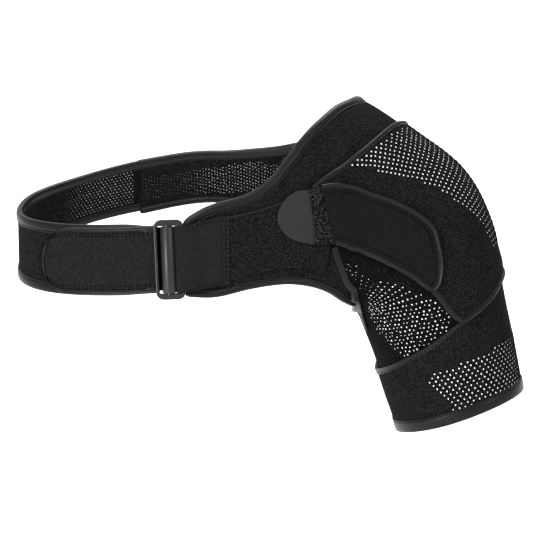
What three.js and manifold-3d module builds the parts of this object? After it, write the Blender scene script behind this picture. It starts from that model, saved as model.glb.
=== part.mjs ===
// Shoulder brace: an arm sleeve and yoke, a compression flap and a strap round the chest.
// Millimetres. +Z is up, the front faces -Y and the arm hangs at +X.
// The origin is the seat on top of the shoulder, on the inner face of the sleeve's cap.

import * as THREE from 'three';
import { mergeVertices } from 'three/addons/utils/BufferGeometryUtils.js';
import Module from 'manifold-3d';

const wasm = await Module();
wasm.setup();

// Driving dimensions of the worn form
const ARM_RADIUS = 60;
const SHOULDER_RADIUS = 70;
const CHEST_DEPTH = 100;
const ARM_LENGTH = 112;
const ARMPIT_REACH = 70;
const ARM_LEAN = 15;
const ARM_FORWARD = 9;
const CHEST_SPAN = 192;
const CHEST_DROP = 66;
const ARMPIT_X = -48;
const ARMPIT_Z = -152;
const ARM_OFFSET = 8;

// Cloth
const WALL = 2.6;
const CUFF_WALL = 2;
const OVERLAY_WALL = 1.8;
const FLAP_WALL = 2;
const PATCH_WALL = 1.6;
const TAB_WALL = 1.2;
const STRIP_WALL = 1.7;
const TAPE_WALL = 0.6;
const WEBBING = 1.1;
const LAYER_GAP = 0.5;
const TAPE_GAP = 0.4;
const WIDE_GAP = 0.85;
const UNDERARM_GAP = 0.95;
const SEAM_GAP = 0.5;

// Widths of the edge tapes
const NECK_TAPE = 7.8;
const UNDERARM_TAPE = 6;
const HEM_TAPE = 10.5;
const CUFF_TAPE = 4.5;
const FLAP_TAPE = 4.5;
const PATCH_TAPE = 3.6;
const STRAP_TAPE = 8;
const STRAP_END_TAPE = 3.4;
const SEAM_TAPE = 5.5;

// Lengths over which a layer rises over the edge below it, as stations or degrees
const OVERLAY_EDGE = 2.03;
const OVERLAY_EASE = 0.05;
const CUFF_EDGE = 1.06;
const CUFF_EASE = 0.1;
const SEAM_RISE = 1.5;
const SEAM_RISE_FROM = 100;
const SEAM_RISE_EASE = 15;

// Chest strap
const STRAP_WIDTH = 57;
const STRAP_REACH = 139.2;
const STRAP_LEVEL = -83;
const STRAP_CENTRE = -186;
const STRAP_POWER = 2.5;
const STRAP_END_LENGTH = 97;
const STRAP_END_WIDTH = 51.5;
const STRAP_END_WALL = 1.8;
const STRAP_END_ROUND = 21;
const STRAP_END_POWER = 2.6;
const STRAP_END_START = 3.3;
const FOLD_WALL = 1.2;
const FOLD_LAP = 2.8;
const STRAP_START = 28;
const STRAP_JOIN_GAP = 1.4;
const SEAM_LAP = 4;

// Webbing loop on the buckle's right bar
const LOOP_LENGTH = 35;
const LOOP_WIDTH = 53;
const LOOP_RISE = 6;
const LOOP_LAP = 12;

// Near the buckle a piece follows the buckle's frame, farther off it lies on the body
const NEAR = 4;
const EASE = 16;
const END_EASE = 24;

// Buckle
const BUCKLE_WIDTH = 23.5;
const BUCKLE_HEIGHT = 63;
const BUCKLE_WALL = 3.2;
const BUCKLE_RAIL = 5;
const BUCKLE_SIDE = 2.6;
const BUCKLE_CORNER = 6;
const BUCKLE_LIFT = 7.4;
const BUCKLE_ROLL = 2;
const BAR_DIAMETER = 10.2;
const BAR_NECK = 5;
const BAR_OFFSET = -1.6;
const BAR_GAP = 1;
const BAR_FOLD = 1;

// Cells of the meshes
const RING_STEPS = 36;
const YOKE_STEPS = 2;
const YOKE_ACROSS = 6;
const SLEEVE_RISE = 7;
const ARMPIT_STEPS = 16;
const CUFF_RISE = 5;
const FLAP_ALONG = 24;
const FLAP_ACROSS = 8;
const PATCH_ALONG = 16;
const PATCH_ACROSS = 5;
const OVERLAY_ALONG = 12;
const OVERLAY_ACROSS = 4;
const SEAM_STEPS = 16;
const TAB_ALONG = 12;
const STRIP_ALONG = 6;
const STRAP_STEPS = 32;
const STRAP_MARKS = 160;

// Sections of the worn form: top, under, front and back are shares of the size in "of"
const SECTIONS = [
  { at: 0.00, of: ARM_RADIUS, top: 0.867, under: 0.85, front: 0.85, back: 0.867, power: 2 },
  { at: 0.50, of: ARM_RADIUS, top: 0.917, under: 0.917, front: 0.933, back: 0.933, power: 2 },
  { at: 1.00, of: ARM_RADIUS, top: 0.967, under: 1.017, front: 1.017, back: 1.033, power: 2.05 },
  { at: 1.25, of: SHOULDER_RADIUS, top: 0.971, under: 0.914, front: 0.9, back: 0.929, power: 2.1 },
  { at: 1.50, of: SHOULDER_RADIUS, top: 1.143, under: 0.943, front: 0.929, back: 0.971, power: 2.1 },
  { at: 1.75, of: SHOULDER_RADIUS, top: 1.257, under: 0.943, front: 0.971, back: 1.014, power: 2.1 },
  { at: 2.00, of: SHOULDER_RADIUS, top: 1.571, under: 0.943, front: 1.043, back: 1.086, power: 2.15 },
  { at: 2.22, of: CHEST_DEPTH, top: 1.26, under: 0.7, front: 0.85, back: 0.87, power: 2.2 },
  { at: 2.45, of: CHEST_DEPTH, top: 1.45, under: 0.85, front: 0.96, back: 0.97, power: 2.25 },
  { at: 2.70, of: CHEST_DEPTH, top: 1.68, under: 0.9, front: 1.01, back: 1.01, power: 2.25 },
  { at: 3.00, of: CHEST_DEPTH, top: 1.95, under: 0.9, front: 0.97, back: 0.97, power: 2.25 },
];

// The chest strap by the angle round the body: 0 is the front, 90 the far side, 180 the back.
// Rise and width are shares of STRAP_WIDTH, depth is a share of CHEST_DEPTH, lean is in degrees.
const STRAP_ROWS = [
  { at: 0, rise: 0.04, width: 0.965, depth: 0.988, lean: 8 },
  { at: 45, rise: -0.065, width: 0.965, depth: 0.98, lean: 8 },
  { at: 90, rise: -0.085, width: 0.93, depth: 0.96, lean: 1 },
  { at: 135, rise: 0.085, width: 0.84, depth: 0.946, lean: 11 },
  { at: 180, rise: 0.37, width: 0.86, depth: 0.946, lean: 12 },
];

// Outlines on the worn form. Angle is round the arm or chest in degrees, 0 on top and + to the front.
// Station is 0 at the hem, 1 at the armpit, 2 at the shoulder and 3 where the back panel ends.
const NECK_EDGE = [
  [52.3, 2.7], [50.4, 2.6], [50.6, 2.5], [49.8, 2.43], [46.5, 2.36], [42.5, 2.32], [39, 2.29], [37.5, 2.275],
  [36, 2.262], [35, 2.255], [34, 2.25], [30.5, 2.22], [26.5, 2.185], [21, 2.135], [15, 2.085], [10, 2.04],
  [5, 2.005], [0, 1.985],
  [-7, 1.985], [-14, 1.995], [-22, 2.02], [-30, 2.055], [-37, 2.09], [-42, 2.13], [-44.5, 2.155], [-47, 2.18],
  [-47.8, 2.19], [-48.2, 2.2], [-48.7, 2.21], [-49.5, 2.25], [-50.5, 2.32], [-50.5, 2.42], [-49, 2.55],
  [-45.5, 2.7], [-40, 2.97],
];
const ARM_SIDE_EDGE = [
  [82.6, 2.7], [88.3, 2.58], [90.3, 2.46], [92.8, 2.36], [96.5, 2.27], [103.2, 2.18], [111.2, 2.115], [117, 2.085],
  [122.5, 2.062], [126, 2.045], [116, 2.025], [98, 2.068], [84, 2.095], [64, 2.06], [47, 2], [32, 1.93],
  [16, 1.86], [0, 1.82],
  [-16, 1.84], [-32, 1.88], [-47, 1.94], [-64, 2], [-84, 2.055], [-98, 2.045], [-116, 2.02], [-126, 2.045],
  [-121, 2.062], [-115, 2.085], [-108, 2.115], [-99, 2.17], [-90, 2.25], [-81, 2.4], [-73.5, 2.55],
  [-68, 2.7], [-61, 2.97],
];
const FRONT_CORNER_ROW = 9;
const BACK_CORNER_ROW = 25;

// Edge of the sleeve under the arm, from the yoke's front corner to its back corner
const ARMPIT_EDGE = [
  [126, 2.045], [143, 1.96], [158, 1.76], [171, 1.4], [180, 1.15], [189, 1.4], [202, 1.76], [217, 1.96], [234, 2.045],
];

// Tape over the seam between yoke and sleeve
const ARMHOLE_SEAM = [
  [84, 2.09], [98, 2.06], [116, 2.012], [135, 1.88], [152, 1.6], [163, 1.2], [167, 0.95], [166, 0.84],
];

// Hem of the sleeve and top of the cuff, by the angle round the arm
const HEM_LINE = [
  [-180, 0.0], [-120, 0.04], [-60, 0.1], [0, 0.1], [60, 0.1], [120, 0.05], [180, 0.0],
];
const CUFF_LINE = [
  [-180, 0.5], [-150, 0.56], [-110, 0.7], [-60, 0.9], [0, 1.01], [40, 0.96], [60, 0.875], [78, 0.8], [102, 0.695],
  [130, 0.605], [160, 0.53], [180, 0.5],
];

// The flap from its front end under the patch over the shoulder to its back end
const FLAP_TOP = [
  [51, 2.155], [46, 2.1], [42, 2.05], [33.5, 1.97], [24.5, 1.91], [12.5, 1.855], [0, 1.81], [-15, 1.8],
  [-32, 1.83], [-50, 1.92], [-62, 2.0],
];
const FLAP_BOTTOM = [
  [82, 2.105], [89.5, 1.99], [98, 1.7], [100, 1.4], [93, 1.1], [79.5, 0.82], [63, 0.825], [22, 0.985],
  [-22, 1.03], [-58, 1.27], [-80, 1.6],
];

// The patch over the flap's front end, from its left end to its round right end
const PATCH_TOP = [
  [51, 2.155], [50.7, 2.1], [51.8, 2.04], [54.3, 1.94], [56.2, 1.8], [58, 1.65], [61, 1.51],
  [68, 1.4], [76.5, 1.26],
];
const PATCH_BOTTOM = [
  [80.8, 2.1], [83.5, 2.06], [88, 2], [93, 1.8], [96.6, 1.55], [96.3, 1.34], [94.2, 1.18],
  [89.5, 1.115], [83.5, 1.15],
];
const STRIP_LEFT = [[52.5, 2.205], [64, 2.187], [79, 2.18]];
const STRIP_RIGHT = [[51.5, 2.17], [64, 2.14], [81, 2.115]];
const TAB_ROOT = [[52, 2.172], [66, 2.145], [80, 2.122]];
const TAB_OUTLINE = [
  [52.5, 2.2], [52.2, 2.25], [55, 2.3], [61, 2.33], [68, 2.31], [74, 2.26], [78.5, 2.185],
];

// The overlay on the chest
const OVERLAY_TOP = [[56, 2.62], [56.5, 2.53], [57, 2.42], [56, 2.31], [55, 2.22], [54, 2.13], [55, 2.09]];
const OVERLAY_BOTTOM = [[80, 2.62], [83, 2.53], [84.5, 2.42], [86.5, 2.31], [91, 2.22], [97, 2.14], [84, 2.11]];

const radians = THREE.MathUtils.degToRad;
const clamp = THREE.MathUtils.clamp;
const lerp = THREE.MathUtils.lerp;
const smooth = (x) => THREE.MathUtils.smoothstep(x, 0, 1);
const vec = (x, y, z) => new THREE.Vector3(x, y, z);

// Smooth reading of a table's column between its rows
function readColumn(places, values, place) {
  const last = places.length - 1;
  let i = 0;
  while (i < last - 1 && place > places[i + 1]) i += 1;
  const slope = (k) => {
    const a = Math.max(k - 1, 0);
    const b = Math.min(k + 1, last);
    return (values[b] - values[a]) / (places[b] - places[a]);
  };
  const step = places[i + 1] - places[i];
  const u = clamp((place - places[i]) / step, 0, 1);
  const rise = u * u * (3 - 2 * u);
  return lerp(values[i], values[i + 1], rise)
    + step * (u * (1 - u) ** 2 * slope(i) + u * u * (u - 1) * slope(i + 1));
}

const readRows = (rows, name, at) =>
  readColumn(rows.map((row) => row.at), rows.map((row) => row[name]), at);

const readPairs = (pairs, at) =>
  readColumn(pairs.map((pair) => pair[0]), pairs.map((pair) => pair[1]), at);

// A point of an outline at a share of the way along its rows
function alongOutline(outline, share) {
  const places = outline.map((_, i) => i);
  const place = share * (outline.length - 1);
  return [0, 1].map((k) => readColumn(places, outline.map((row) => row[k]), place));
}

const SIZED = SECTIONS.map((row) => ({
  at: row.at,
  top: row.top * row.of,
  under: row.under * row.of,
  front: row.front * row.of,
  back: row.back * row.of,
  power: row.power,
}));

// Middle of the worn form at a station, with the directions to its top and its front
function spine(station) {
  const turn = radians(lerp(ARM_LEAN, 90, clamp(station - 1, 0, 1)));
  const forward = radians(ARM_FORWARD) * smooth(2 - station);
  const arm = clamp(1 - station, 0, 1) * ARM_LENGTH;
  const chest = clamp(station - 2, 0, 1);
  const swing = Math.cos(radians(ARM_FORWARD)) * arm;
  return {
    middle: vec(
      ARMPIT_X + ARMPIT_REACH * Math.cos(turn) + Math.sin(radians(ARM_LEAN)) * swing - CHEST_SPAN * chest,
      -ARM_OFFSET * clamp(2 - station, 0, 1) - Math.sin(radians(ARM_FORWARD)) * arm,
      ARMPIT_Z + ARMPIT_REACH * Math.sin(turn) - Math.cos(radians(ARM_LEAN)) * swing - CHEST_DROP * chest ** 1.3,
    ),
    top: vec(Math.cos(turn), 0, Math.sin(turn)),
    front: vec(0, -Math.cos(forward), Math.sin(forward)),
  };
}

// Point of the worn form's skin
function skin(angle, station) {
  const { middle, top, front } = spine(station);
  const c = Math.cos(radians(angle));
  const s = Math.sin(radians(angle));
  const high = readRows(SIZED, c >= 0 ? 'top' : 'under', station);
  const side = readRows(SIZED, s >= 0 ? 'front' : 'back', station);
  const power = readRows(SIZED, 'power', station);
  const reach = (Math.abs(c / high) ** power + Math.abs(s / side) ** power) ** (-1 / power);
  return middle.addScaledVector(top, c * reach).addScaledVector(front, s * reach);
}

const TINY = 0.001;
const WALK_STEPS = 4;

// Skin point with its outward normal and its two slopes
function patchAt(angle, station) {
  const point = skin(angle, station);
  const round = skin(angle + TINY * 50, station).sub(skin(angle - TINY * 50, station)).divideScalar(TINY * 100);
  const low = Math.max(station - TINY, 0);
  const high = Math.min(station + TINY, 3);
  const along = skin(angle, high).sub(skin(angle, low)).divideScalar(high - low);
  const normal = along.clone().cross(round).normalize();
  return { point, normal, round, along };
}

// The worn form as a surface that pieces lie on: a place is an angle and a station
const BODY = {
  point: ([angle, station]) => skin(angle, station),
  normal: ([angle, station]) => patchAt(angle, station).normal,
  walk: (place, direction, distance) => {
    let [angle, station] = place;
    for (let i = 0; i < WALK_STEPS; i += 1) {
      const { round, along } = patchAt(angle, station);
      const a = round.dot(round);
      const b = round.dot(along);
      const c = along.dot(along);
      const p = direction.dot(round);
      const q = direction.dot(along);
      const share = distance / WALK_STEPS / (a * c - b * b);
      angle += share * (c * p - b * q);
      station += share * (a * q - b * p);
    }
    return [angle, station];
  },
};

// Point at a height over a surface
const lay = (on, place, height) => on.point(place).addScaledVector(on.normal(place), height);

// Geometry between an outer and an inner grid of points, closed at its sides and ends
function slab(outer, inner, ringed = false) {
  const rows = outer.length;
  const across = outer[0].length;
  const points = [...outer.flat(), ...inner.flat()];
  const index = [];
  const at = (side, i, k) => side * rows * across + (i % rows) * across + k;
  const quad = (a, b, c, d) => index.push(a, b, c, a, c, d);
  const spans = ringed ? rows : rows - 1;
  for (let i = 0; i < spans; i += 1) {
    for (let k = 0; k < across - 1; k += 1) {
      quad(at(0, i, k), at(0, i + 1, k), at(0, i + 1, k + 1), at(0, i, k + 1));
      quad(at(1, i, k), at(1, i, k + 1), at(1, i + 1, k + 1), at(1, i + 1, k));
    }
    quad(at(0, i, 0), at(1, i, 0), at(1, i + 1, 0), at(0, i + 1, 0));
    quad(at(0, i, across - 1), at(0, i + 1, across - 1), at(1, i + 1, across - 1), at(1, i, across - 1));
  }
  if (!ringed) {
    for (let k = 0; k < across - 1; k += 1) {
      quad(at(0, 0, k), at(0, 0, k + 1), at(1, 0, k + 1), at(1, 0, k));
      quad(at(0, rows - 1, k), at(1, rows - 1, k), at(1, rows - 1, k + 1), at(0, rows - 1, k + 1));
    }
  }
  const geometry = new THREE.BufferGeometry();
  geometry.setAttribute('position', new THREE.Float32BufferAttribute(points.flatMap((p) => p.toArray()), 3));
  geometry.setIndex(volume(points, index) < 0 ? flipped(index) : index);
  return geometry;
}

// Six times the volume that the triangles enclose
function volume(points, index) {
  let sum = 0;
  for (let i = 0; i < index.length; i += 3) {
    const [a, b, c] = [points[index[i]], points[index[i + 1]], points[index[i + 2]]];
    sum += a.dot(b.clone().cross(c));
  }
  return sum;
}

function flipped(index) {
  const turned = [];
  for (let i = 0; i < index.length; i += 3) turned.push(index[i], index[i + 2], index[i + 1]);
  return turned;
}

const steps = (count) => Array.from({ length: count + 1 }, (_, i) => i / count);

// Outline places of a panel between two edges
function panelPlaces(edgeA, edgeB, along, across) {
  return steps(along).map((share) => {
    const a = alongOutline(edgeA, share);
    const b = alongOutline(edgeB, share);
    return edgeShares(across).map((w) => [lerp(a[0], b[0], w), lerp(a[1], b[1], w)]);
  });
}

// Shares across a panel, closer together near its edges
const edgeShares = (count) => steps(count).map((w) => lerp(w, (1 - Math.cos(Math.PI * w)) / 2, 0.6));

// Panel of cloth over outline places, from a base height up
function panel(on, places, base, wall, ringed = false) {
  const outer = places.map((row) => row.map((place) => lay(on, place, base(place) + wall)));
  const inner = places.map((row) => row.map((place) => lay(on, place, base(place))));
  return slab(outer, inner, ringed);
}

// Edge tape along the places of a panel's edge, with the panel to the left seen from outside.
// A folded tape also covers the inner face.
function edgeTape(on, places, width, base, wall, { folded = true, ringed = false, gap = TAPE_GAP, across = 1 } = {}) {
  const count = places.length;
  const shares = steps(across);
  const outer = [];
  const inner = [];
  places.forEach((place, i) => {
    const before = places[ringed ? (i + count - 1) % count : Math.max(i - 1, 0)];
    const after = places[ringed ? (i + 1) % count : Math.min(i + 1, count - 1)];
    const normal = on.normal(place);
    const tangent = on.point(after).sub(on.point(before)).normalize();
    const into = normal.clone().cross(tangent).normalize();
    const low = base(place);
    const section = (lift) => {
      const inward = shares.slice(1).map((share) => on.walk(place, into, width * share));
      const over = inward.map((spot) => lay(on, spot, base(spot) + wall + lift));
      const shoulder = lay(on, place, low + wall + lift).addScaledVector(into, -lift);
      const foot = lay(on, place, folded ? low - lift : low).addScaledVector(into, -lift);
      const under = folded ? inward.map((spot) => lay(on, spot, base(spot) - lift)) : [];
      return [...over.toReversed(), shoulder, foot, ...under];
    };
    inner.push(section(gap));
    outer.push(section(gap + TAPE_WALL));
  });
  return slab(outer, inner, ringed);
}

const group = new THREE.Group();

// Cloth and plastic: colour, roughness
const fleece = [0x161616, 0.95];
const perforated = [0x1a1a1a, 0.9];
const satin = [0x2c2c2e, 0.6];
const smoothCloth = [0x262627, 0.8];
const plastic = [0x18181a, 0.3];

function add(name, geometry, [color, roughness], parent = group) {
  geometry.deleteAttribute('normal');
  geometry.deleteAttribute('uv');
  const merged = mergeVertices(geometry);
  merged.computeVertexNormals();
  const material = new THREE.MeshStandardMaterial({ color, roughness, metalness: 0 });
  const mesh = new THREE.Mesh(merged, material);
  mesh.name = name;
  parent.add(mesh);
}

const flat = (height) => () => height;

// Yoke over the shoulder, one row of cells to each step of its two edges
const yokeRows = (NECK_EDGE.length - 1) * YOKE_STEPS;
const yokePlaces = panelPlaces(NECK_EDGE, ARM_SIDE_EDGE, yokeRows, YOKE_ACROSS);
const neckPlaces = yokePlaces.map((row) => row[0]);
const armSidePlaces = yokePlaces.map((row) => row.at(-1));
const frontCorner = FRONT_CORNER_ROW * YOKE_STEPS;
const backCorner = BACK_CORNER_ROW * YOKE_STEPS;
add('shoulder_yoke', panel(BODY, yokePlaces, flat(0), WALL), fleece);
add('neck_binding', edgeTape(BODY, neckPlaces.toReversed(), NECK_TAPE, flat(0), WALL, { gap: WIDE_GAP }), satin);

// Sleeve: its top edge follows the yoke over the shoulder and closes under the arm
const seamPlaces = armSidePlaces.slice(frontCorner, backCorner + 1).map((place, i, all) => {
  const before = BODY.point(all[Math.max(i - 1, 0)]);
  const after = BODY.point(all[Math.min(i + 1, all.length - 1)]);
  const away = BODY.normal(place).cross(after.sub(before)).normalize();
  return BODY.walk(place, away, -SEAM_GAP);
});
const armpitPlaces = steps(ARMPIT_STEPS).map((share) => alongOutline(ARMPIT_EDGE, share));
const backArmpit = armpitPlaces.map(([angle, station]) => [angle - 360, station]).toReversed();
const sleeveTop = [...seamPlaces, ...backArmpit.slice(1, -1)];
const hemStation = (angle) => readPairs(HEM_LINE, THREE.MathUtils.euclideanModulo(angle + 180, 360) - 180);
const sleevePlaces = sleeveTop.map(([angle, station]) =>
  steps(SLEEVE_RISE).map((share) => [angle, lerp(hemStation(angle), station, share)]));
add('arm_sleeve', panel(BODY, sleevePlaces, flat(0), WALL, true), perforated);

const underarmPlaces = [
  ...armSidePlaces.slice(0, frontCorner + 1),
  ...armpitPlaces.slice(1, -1),
  ...armSidePlaces.slice(backCorner).map(([angle, station]) => [angle + 360, station]),
];
add('underarm_binding', edgeTape(BODY, underarmPlaces, UNDERARM_TAPE, flat(0), WALL,
  { gap: UNDERARM_GAP, across: 2 }), satin);

// Cuff round the lower sleeve, and the hem tape that folds over both
const CUFF_BASE = WALL + LAYER_GAP;
const ringAngles = steps(RING_STEPS).slice(0, -1).map((share) => 180 - 360 * share);
const cuffPlaces = ringAngles.map((angle) =>
  steps(CUFF_RISE).map((share) => [angle, lerp(hemStation(angle), readPairs(CUFF_LINE, angle), share)]));
add('arm_cuff', panel(BODY, cuffPlaces, flat(CUFF_BASE), CUFF_WALL, true), fleece);
const cuffTop = cuffPlaces.map((row) => row.at(-1));
add('cuff_binding', edgeTape(BODY, cuffTop.toReversed(), CUFF_TAPE, flat(CUFF_BASE), CUFF_WALL,
  { folded: false, ringed: true }), satin);
const hemPlaces = cuffPlaces.map((row) => row[0]);
add('hem_binding', edgeTape(BODY, hemPlaces, HEM_TAPE, flat(0), CUFF_BASE + CUFF_WALL, { ringed: true }), satin);

// Layers over the chest and shoulder
const OVERLAY_BASE = WALL + LAYER_GAP;
const seamBase = ([angle]) => OVERLAY_BASE + SEAM_RISE * smooth((angle - SEAM_RISE_FROM) / SEAM_RISE_EASE);
const FLAP_BASE = OVERLAY_BASE + TAPE_WALL + LAYER_GAP;
const OVERLAY_LIFT = OVERLAY_WALL - TAPE_WALL;
const CUFF_LIFT = CUFF_WALL + TAPE_GAP + LAYER_GAP;
const flapBase = ([, station]) => FLAP_BASE
  + OVERLAY_LIFT * smooth((station - OVERLAY_EDGE) / OVERLAY_EASE)
  + CUFF_LIFT * smooth((CUFF_EDGE - station) / CUFF_EASE + 1);
const patchBase = (place) => flapBase(place) + FLAP_WALL + WIDE_GAP + TAPE_WALL + WIDE_GAP;
const TAB_BASE = OVERLAY_BASE + OVERLAY_WALL + LAYER_GAP;
const STRIP_BASE = TAB_BASE + TAB_WALL + LAYER_GAP;

const overlayPlaces = panelPlaces(OVERLAY_TOP, OVERLAY_BOTTOM, OVERLAY_ALONG, OVERLAY_ACROSS);
add('chest_overlay', panel(BODY, overlayPlaces, flat(OVERLAY_BASE), OVERLAY_WALL), fleece);

const seamRows = steps(SEAM_STEPS).map((share) => {
  const place = alongOutline(ARMHOLE_SEAM, share);
  const ahead = alongOutline(ARMHOLE_SEAM, Math.min(share + 0.01, 1));
  const behind = alongOutline(ARMHOLE_SEAM, Math.max(share - 0.01, 0));
  const side = BODY.normal(place).cross(BODY.point(ahead).sub(BODY.point(behind))).normalize();
  return [BODY.walk(place, side, SEAM_TAPE / 2), BODY.walk(place, side, -SEAM_TAPE / 2)];
});
add('armhole_tape', panel(BODY, seamRows, seamBase, TAPE_WALL), satin);

const flapPlaces = panelPlaces(FLAP_TOP, FLAP_BOTTOM, FLAP_ALONG, FLAP_ACROSS);
add('wrap_flap', panel(BODY, flapPlaces, flapBase, FLAP_WALL), fleece);
const flapEdge = [
  ...flapPlaces.map((row) => row.at(-1)),
  ...flapPlaces.at(-1).slice(1, -1).toReversed(),
  ...flapPlaces.map((row) => row[0]).toReversed(),
];
add('flap_binding', edgeTape(BODY, flapEdge, FLAP_TAPE, flapBase, FLAP_WALL,
  { folded: false, gap: WIDE_GAP }), satin);

const patchPlaces = panelPlaces(PATCH_TOP, PATCH_BOTTOM, PATCH_ALONG, PATCH_ACROSS);
add('flap_patch', panel(BODY, patchPlaces, patchBase, PATCH_WALL), smoothCloth);
const patchEdge = [
  ...patchPlaces.map((row) => row.at(-1)),
  ...patchPlaces.at(-1).slice(1, -1).toReversed(),
  ...patchPlaces.map((row) => row[0]).toReversed(),
];
add('patch_binding', edgeTape(BODY, patchEdge, PATCH_TAPE, patchBase, PATCH_WALL,
  { folded: false, gap: WIDE_GAP }), satin);
const stripPlaces = panelPlaces(STRIP_LEFT, STRIP_RIGHT, STRIP_ALONG, 2);
add('plush_strip', panel(BODY, stripPlaces, flat(STRIP_BASE), STRIP_WALL), fleece);
const tabPlaces = panelPlaces(TAB_OUTLINE, TAB_ROOT, TAB_ALONG, 3);
add('hook_tab', panel(BODY, tabPlaces, flat(TAB_BASE), TAB_WALL), smoothCloth);

// Chest strap: an upright section at an angle round the body
function strapSection(angle) {
  const turn = radians(angle);
  const bend = 2 / STRAP_POWER;
  const across = Math.sin(turn);
  const ahead = Math.cos(turn);
  const depth = CHEST_DEPTH * readRows(STRAP_ROWS, 'depth', angle);
  const x = -STRAP_REACH * Math.sign(across) * Math.abs(across) ** bend;
  const y = -depth * Math.sign(ahead) * Math.abs(ahead) ** bend;
  const power = STRAP_POWER - 1;
  const out = vec(
    (Math.sign(x) * Math.abs(x / STRAP_REACH) ** power) / STRAP_REACH,
    (Math.sign(y) * Math.abs(y / depth) ** power) / depth,
    0,
  ).normalize();
  const lean = radians(readRows(STRAP_ROWS, 'lean', angle));
  const level = STRAP_LEVEL + STRAP_WIDTH * readRows(STRAP_ROWS, 'rise', angle);
  return {
    middle: vec(STRAP_CENTRE + x, y, level),
    up: out.clone().multiplyScalar(-Math.sin(lean)).add(vec(0, 0, Math.cos(lean))),
    out: out.clone().multiplyScalar(Math.cos(lean)).add(vec(0, 0, Math.sin(lean))),
    width: STRAP_WIDTH * readRows(STRAP_ROWS, 'width', angle),
  };
}

// Angle round the body at which the strap has a place along X, on the front or the back
function strapAngle(x, onBack) {
  const share = (STRAP_CENTRE - x) / STRAP_REACH;
  const turn = THREE.MathUtils.radToDeg(Math.asin(Math.sign(share) * Math.abs(share) ** (STRAP_POWER / 2)));
  return onBack ? 180 - turn : turn;
}

// Buckle, set square on the front of the chest beside the yoke's front end
const yokeFront = BODY.point([66, NECK_EDGE[0][1]]).x;
const buckleX = yokeFront - BUCKLE_WIDTH / 2;
const buckleSection = strapSection(strapAngle(buckleX, false));
const buckleMiddle = buckleSection.middle.clone().addScaledVector(buckleSection.out, BUCKLE_LIFT);
const buckleTurn = new THREE.Matrix4().makeBasis(
  vec(1, 0, 0),
  buckleSection.up,
  vec(1, 0, 0).cross(buckleSection.up),
);
const buckleGroup = new THREE.Group();
buckleGroup.applyMatrix4(buckleTurn);
buckleGroup.rotateZ(radians(BUCKLE_ROLL));
buckleGroup.position.copy(buckleMiddle);
buckleGroup.updateMatrixWorld(true);
group.add(buckleGroup);

function solidOf(geometry) {
  geometry.deleteAttribute('normal');
  geometry.deleteAttribute('uv');
  const merged = mergeVertices(geometry, 1e-4);
  return new wasm.Manifold(new wasm.Mesh({
    numProp: 3,
    vertProperties: new Float32Array(merged.attributes.position.array),
    triVerts: new Uint32Array(merged.index.array),
  }));
}

function geometryOf(solid) {
  const mesh = solid.getMesh();
  const geometry = new THREE.BufferGeometry();
  geometry.setAttribute('position', new THREE.BufferAttribute(new Float32Array(mesh.vertProperties), 3));
  geometry.setIndex(new THREE.BufferAttribute(new Uint32Array(mesh.triVerts), 1));
  return geometry;
}

function roundedRectangle(path, width, height, corner) {
  const x = width / 2;
  const y = height / 2;
  path.moveTo(-x + corner, -y);
  path.lineTo(x - corner, -y);
  path.absarc(x - corner, -y + corner, corner, -Math.PI / 2, 0);
  path.lineTo(x, y - corner);
  path.absarc(x - corner, y - corner, corner, 0, Math.PI / 2);
  path.lineTo(-x + corner, y);
  path.absarc(-x + corner, y - corner, corner, Math.PI / 2, Math.PI);
  path.lineTo(-x, -y + corner);
  path.absarc(-x + corner, -y + corner, corner, Math.PI, 1.5 * Math.PI);
  return path;
}

const OPENING_HEIGHT = BUCKLE_HEIGHT - 2 * BUCKLE_RAIL;

function buckle() {
  const outline = roundedRectangle(new THREE.Shape(), BUCKLE_WIDTH, BUCKLE_HEIGHT, BUCKLE_CORNER);
  outline.holes.push(roundedRectangle(new THREE.Path(), BUCKLE_WIDTH - 2 * BUCKLE_SIDE, OPENING_HEIGHT, 1));
  const frame = new THREE.ExtrudeGeometry(outline, { depth: BUCKLE_WALL, bevelEnabled: false, curveSegments: 4 });
  frame.translate(0, 0, -BUCKLE_WALL / 2);
  const bar = new THREE.CylinderGeometry(BAR_DIAMETER / 2, BAR_DIAMETER / 2, OPENING_HEIGHT - 2 * BAR_GAP, 20);
  const neck = new THREE.CylinderGeometry(BAR_NECK / 2, BAR_NECK / 2, OPENING_HEIGHT + BUCKLE_RAIL, 8);
  const parts = [bar, neck].map((piece) => solidOf(piece.translate(BAR_OFFSET, 0, 0)));
  return geometryOf(solidOf(frame).add(parts[0]).add(parts[1]));
}
add('buckle', buckle(), plastic, buckleGroup);

// Point in the buckle's own frame
const byBuckle = (x, y, z) => vec(x, y, z - BUCKLE_LIFT).applyMatrix4(buckleGroup.matrixWorld);

// Place on the front of the chest's skin nearest to a point
function placeUnder(point) {
  let place = [66, NECK_EDGE[0][1]];
  for (let i = 0; i < WALK_STEPS; i += 1) {
    const gap = point.clone().sub(BODY.point(place));
    place = BODY.walk(place, gap, 1);
  }
  return place;
}

// Point on the chest's skin at a distance right of a place and a height up the chest
function byChest(start, right, up, height) {
  let place = start;
  place = BODY.walk(place, buckleSection.up, up);
  place = BODY.walk(place, vec(1, 0, 0), right);
  return lay(BODY, place, height);
}

// Length of the strap from the buckle's left bar to each degree round the body
const barX = BUCKLE_WIDTH / 2 - BUCKLE_SIDE / 2;
const frontAngle = strapAngle(buckleX - barX, false);
const backX = BODY.point([-55, NECK_EDGE.at(-1)[1]]).x;
const backAngle = strapAngle(backX, true);
const strapMarks = steps(STRAP_MARKS).map((share) => lerp(frontAngle, backAngle, share));
const strapLengths = [0];
strapMarks.slice(1).forEach((mark, i) => {
  const step = strapSection(mark).middle.distanceTo(strapSection(strapMarks[i]).middle);
  strapLengths.push(strapLengths[i] + step);
});
const strapLength = strapLengths.at(-1);

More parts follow.
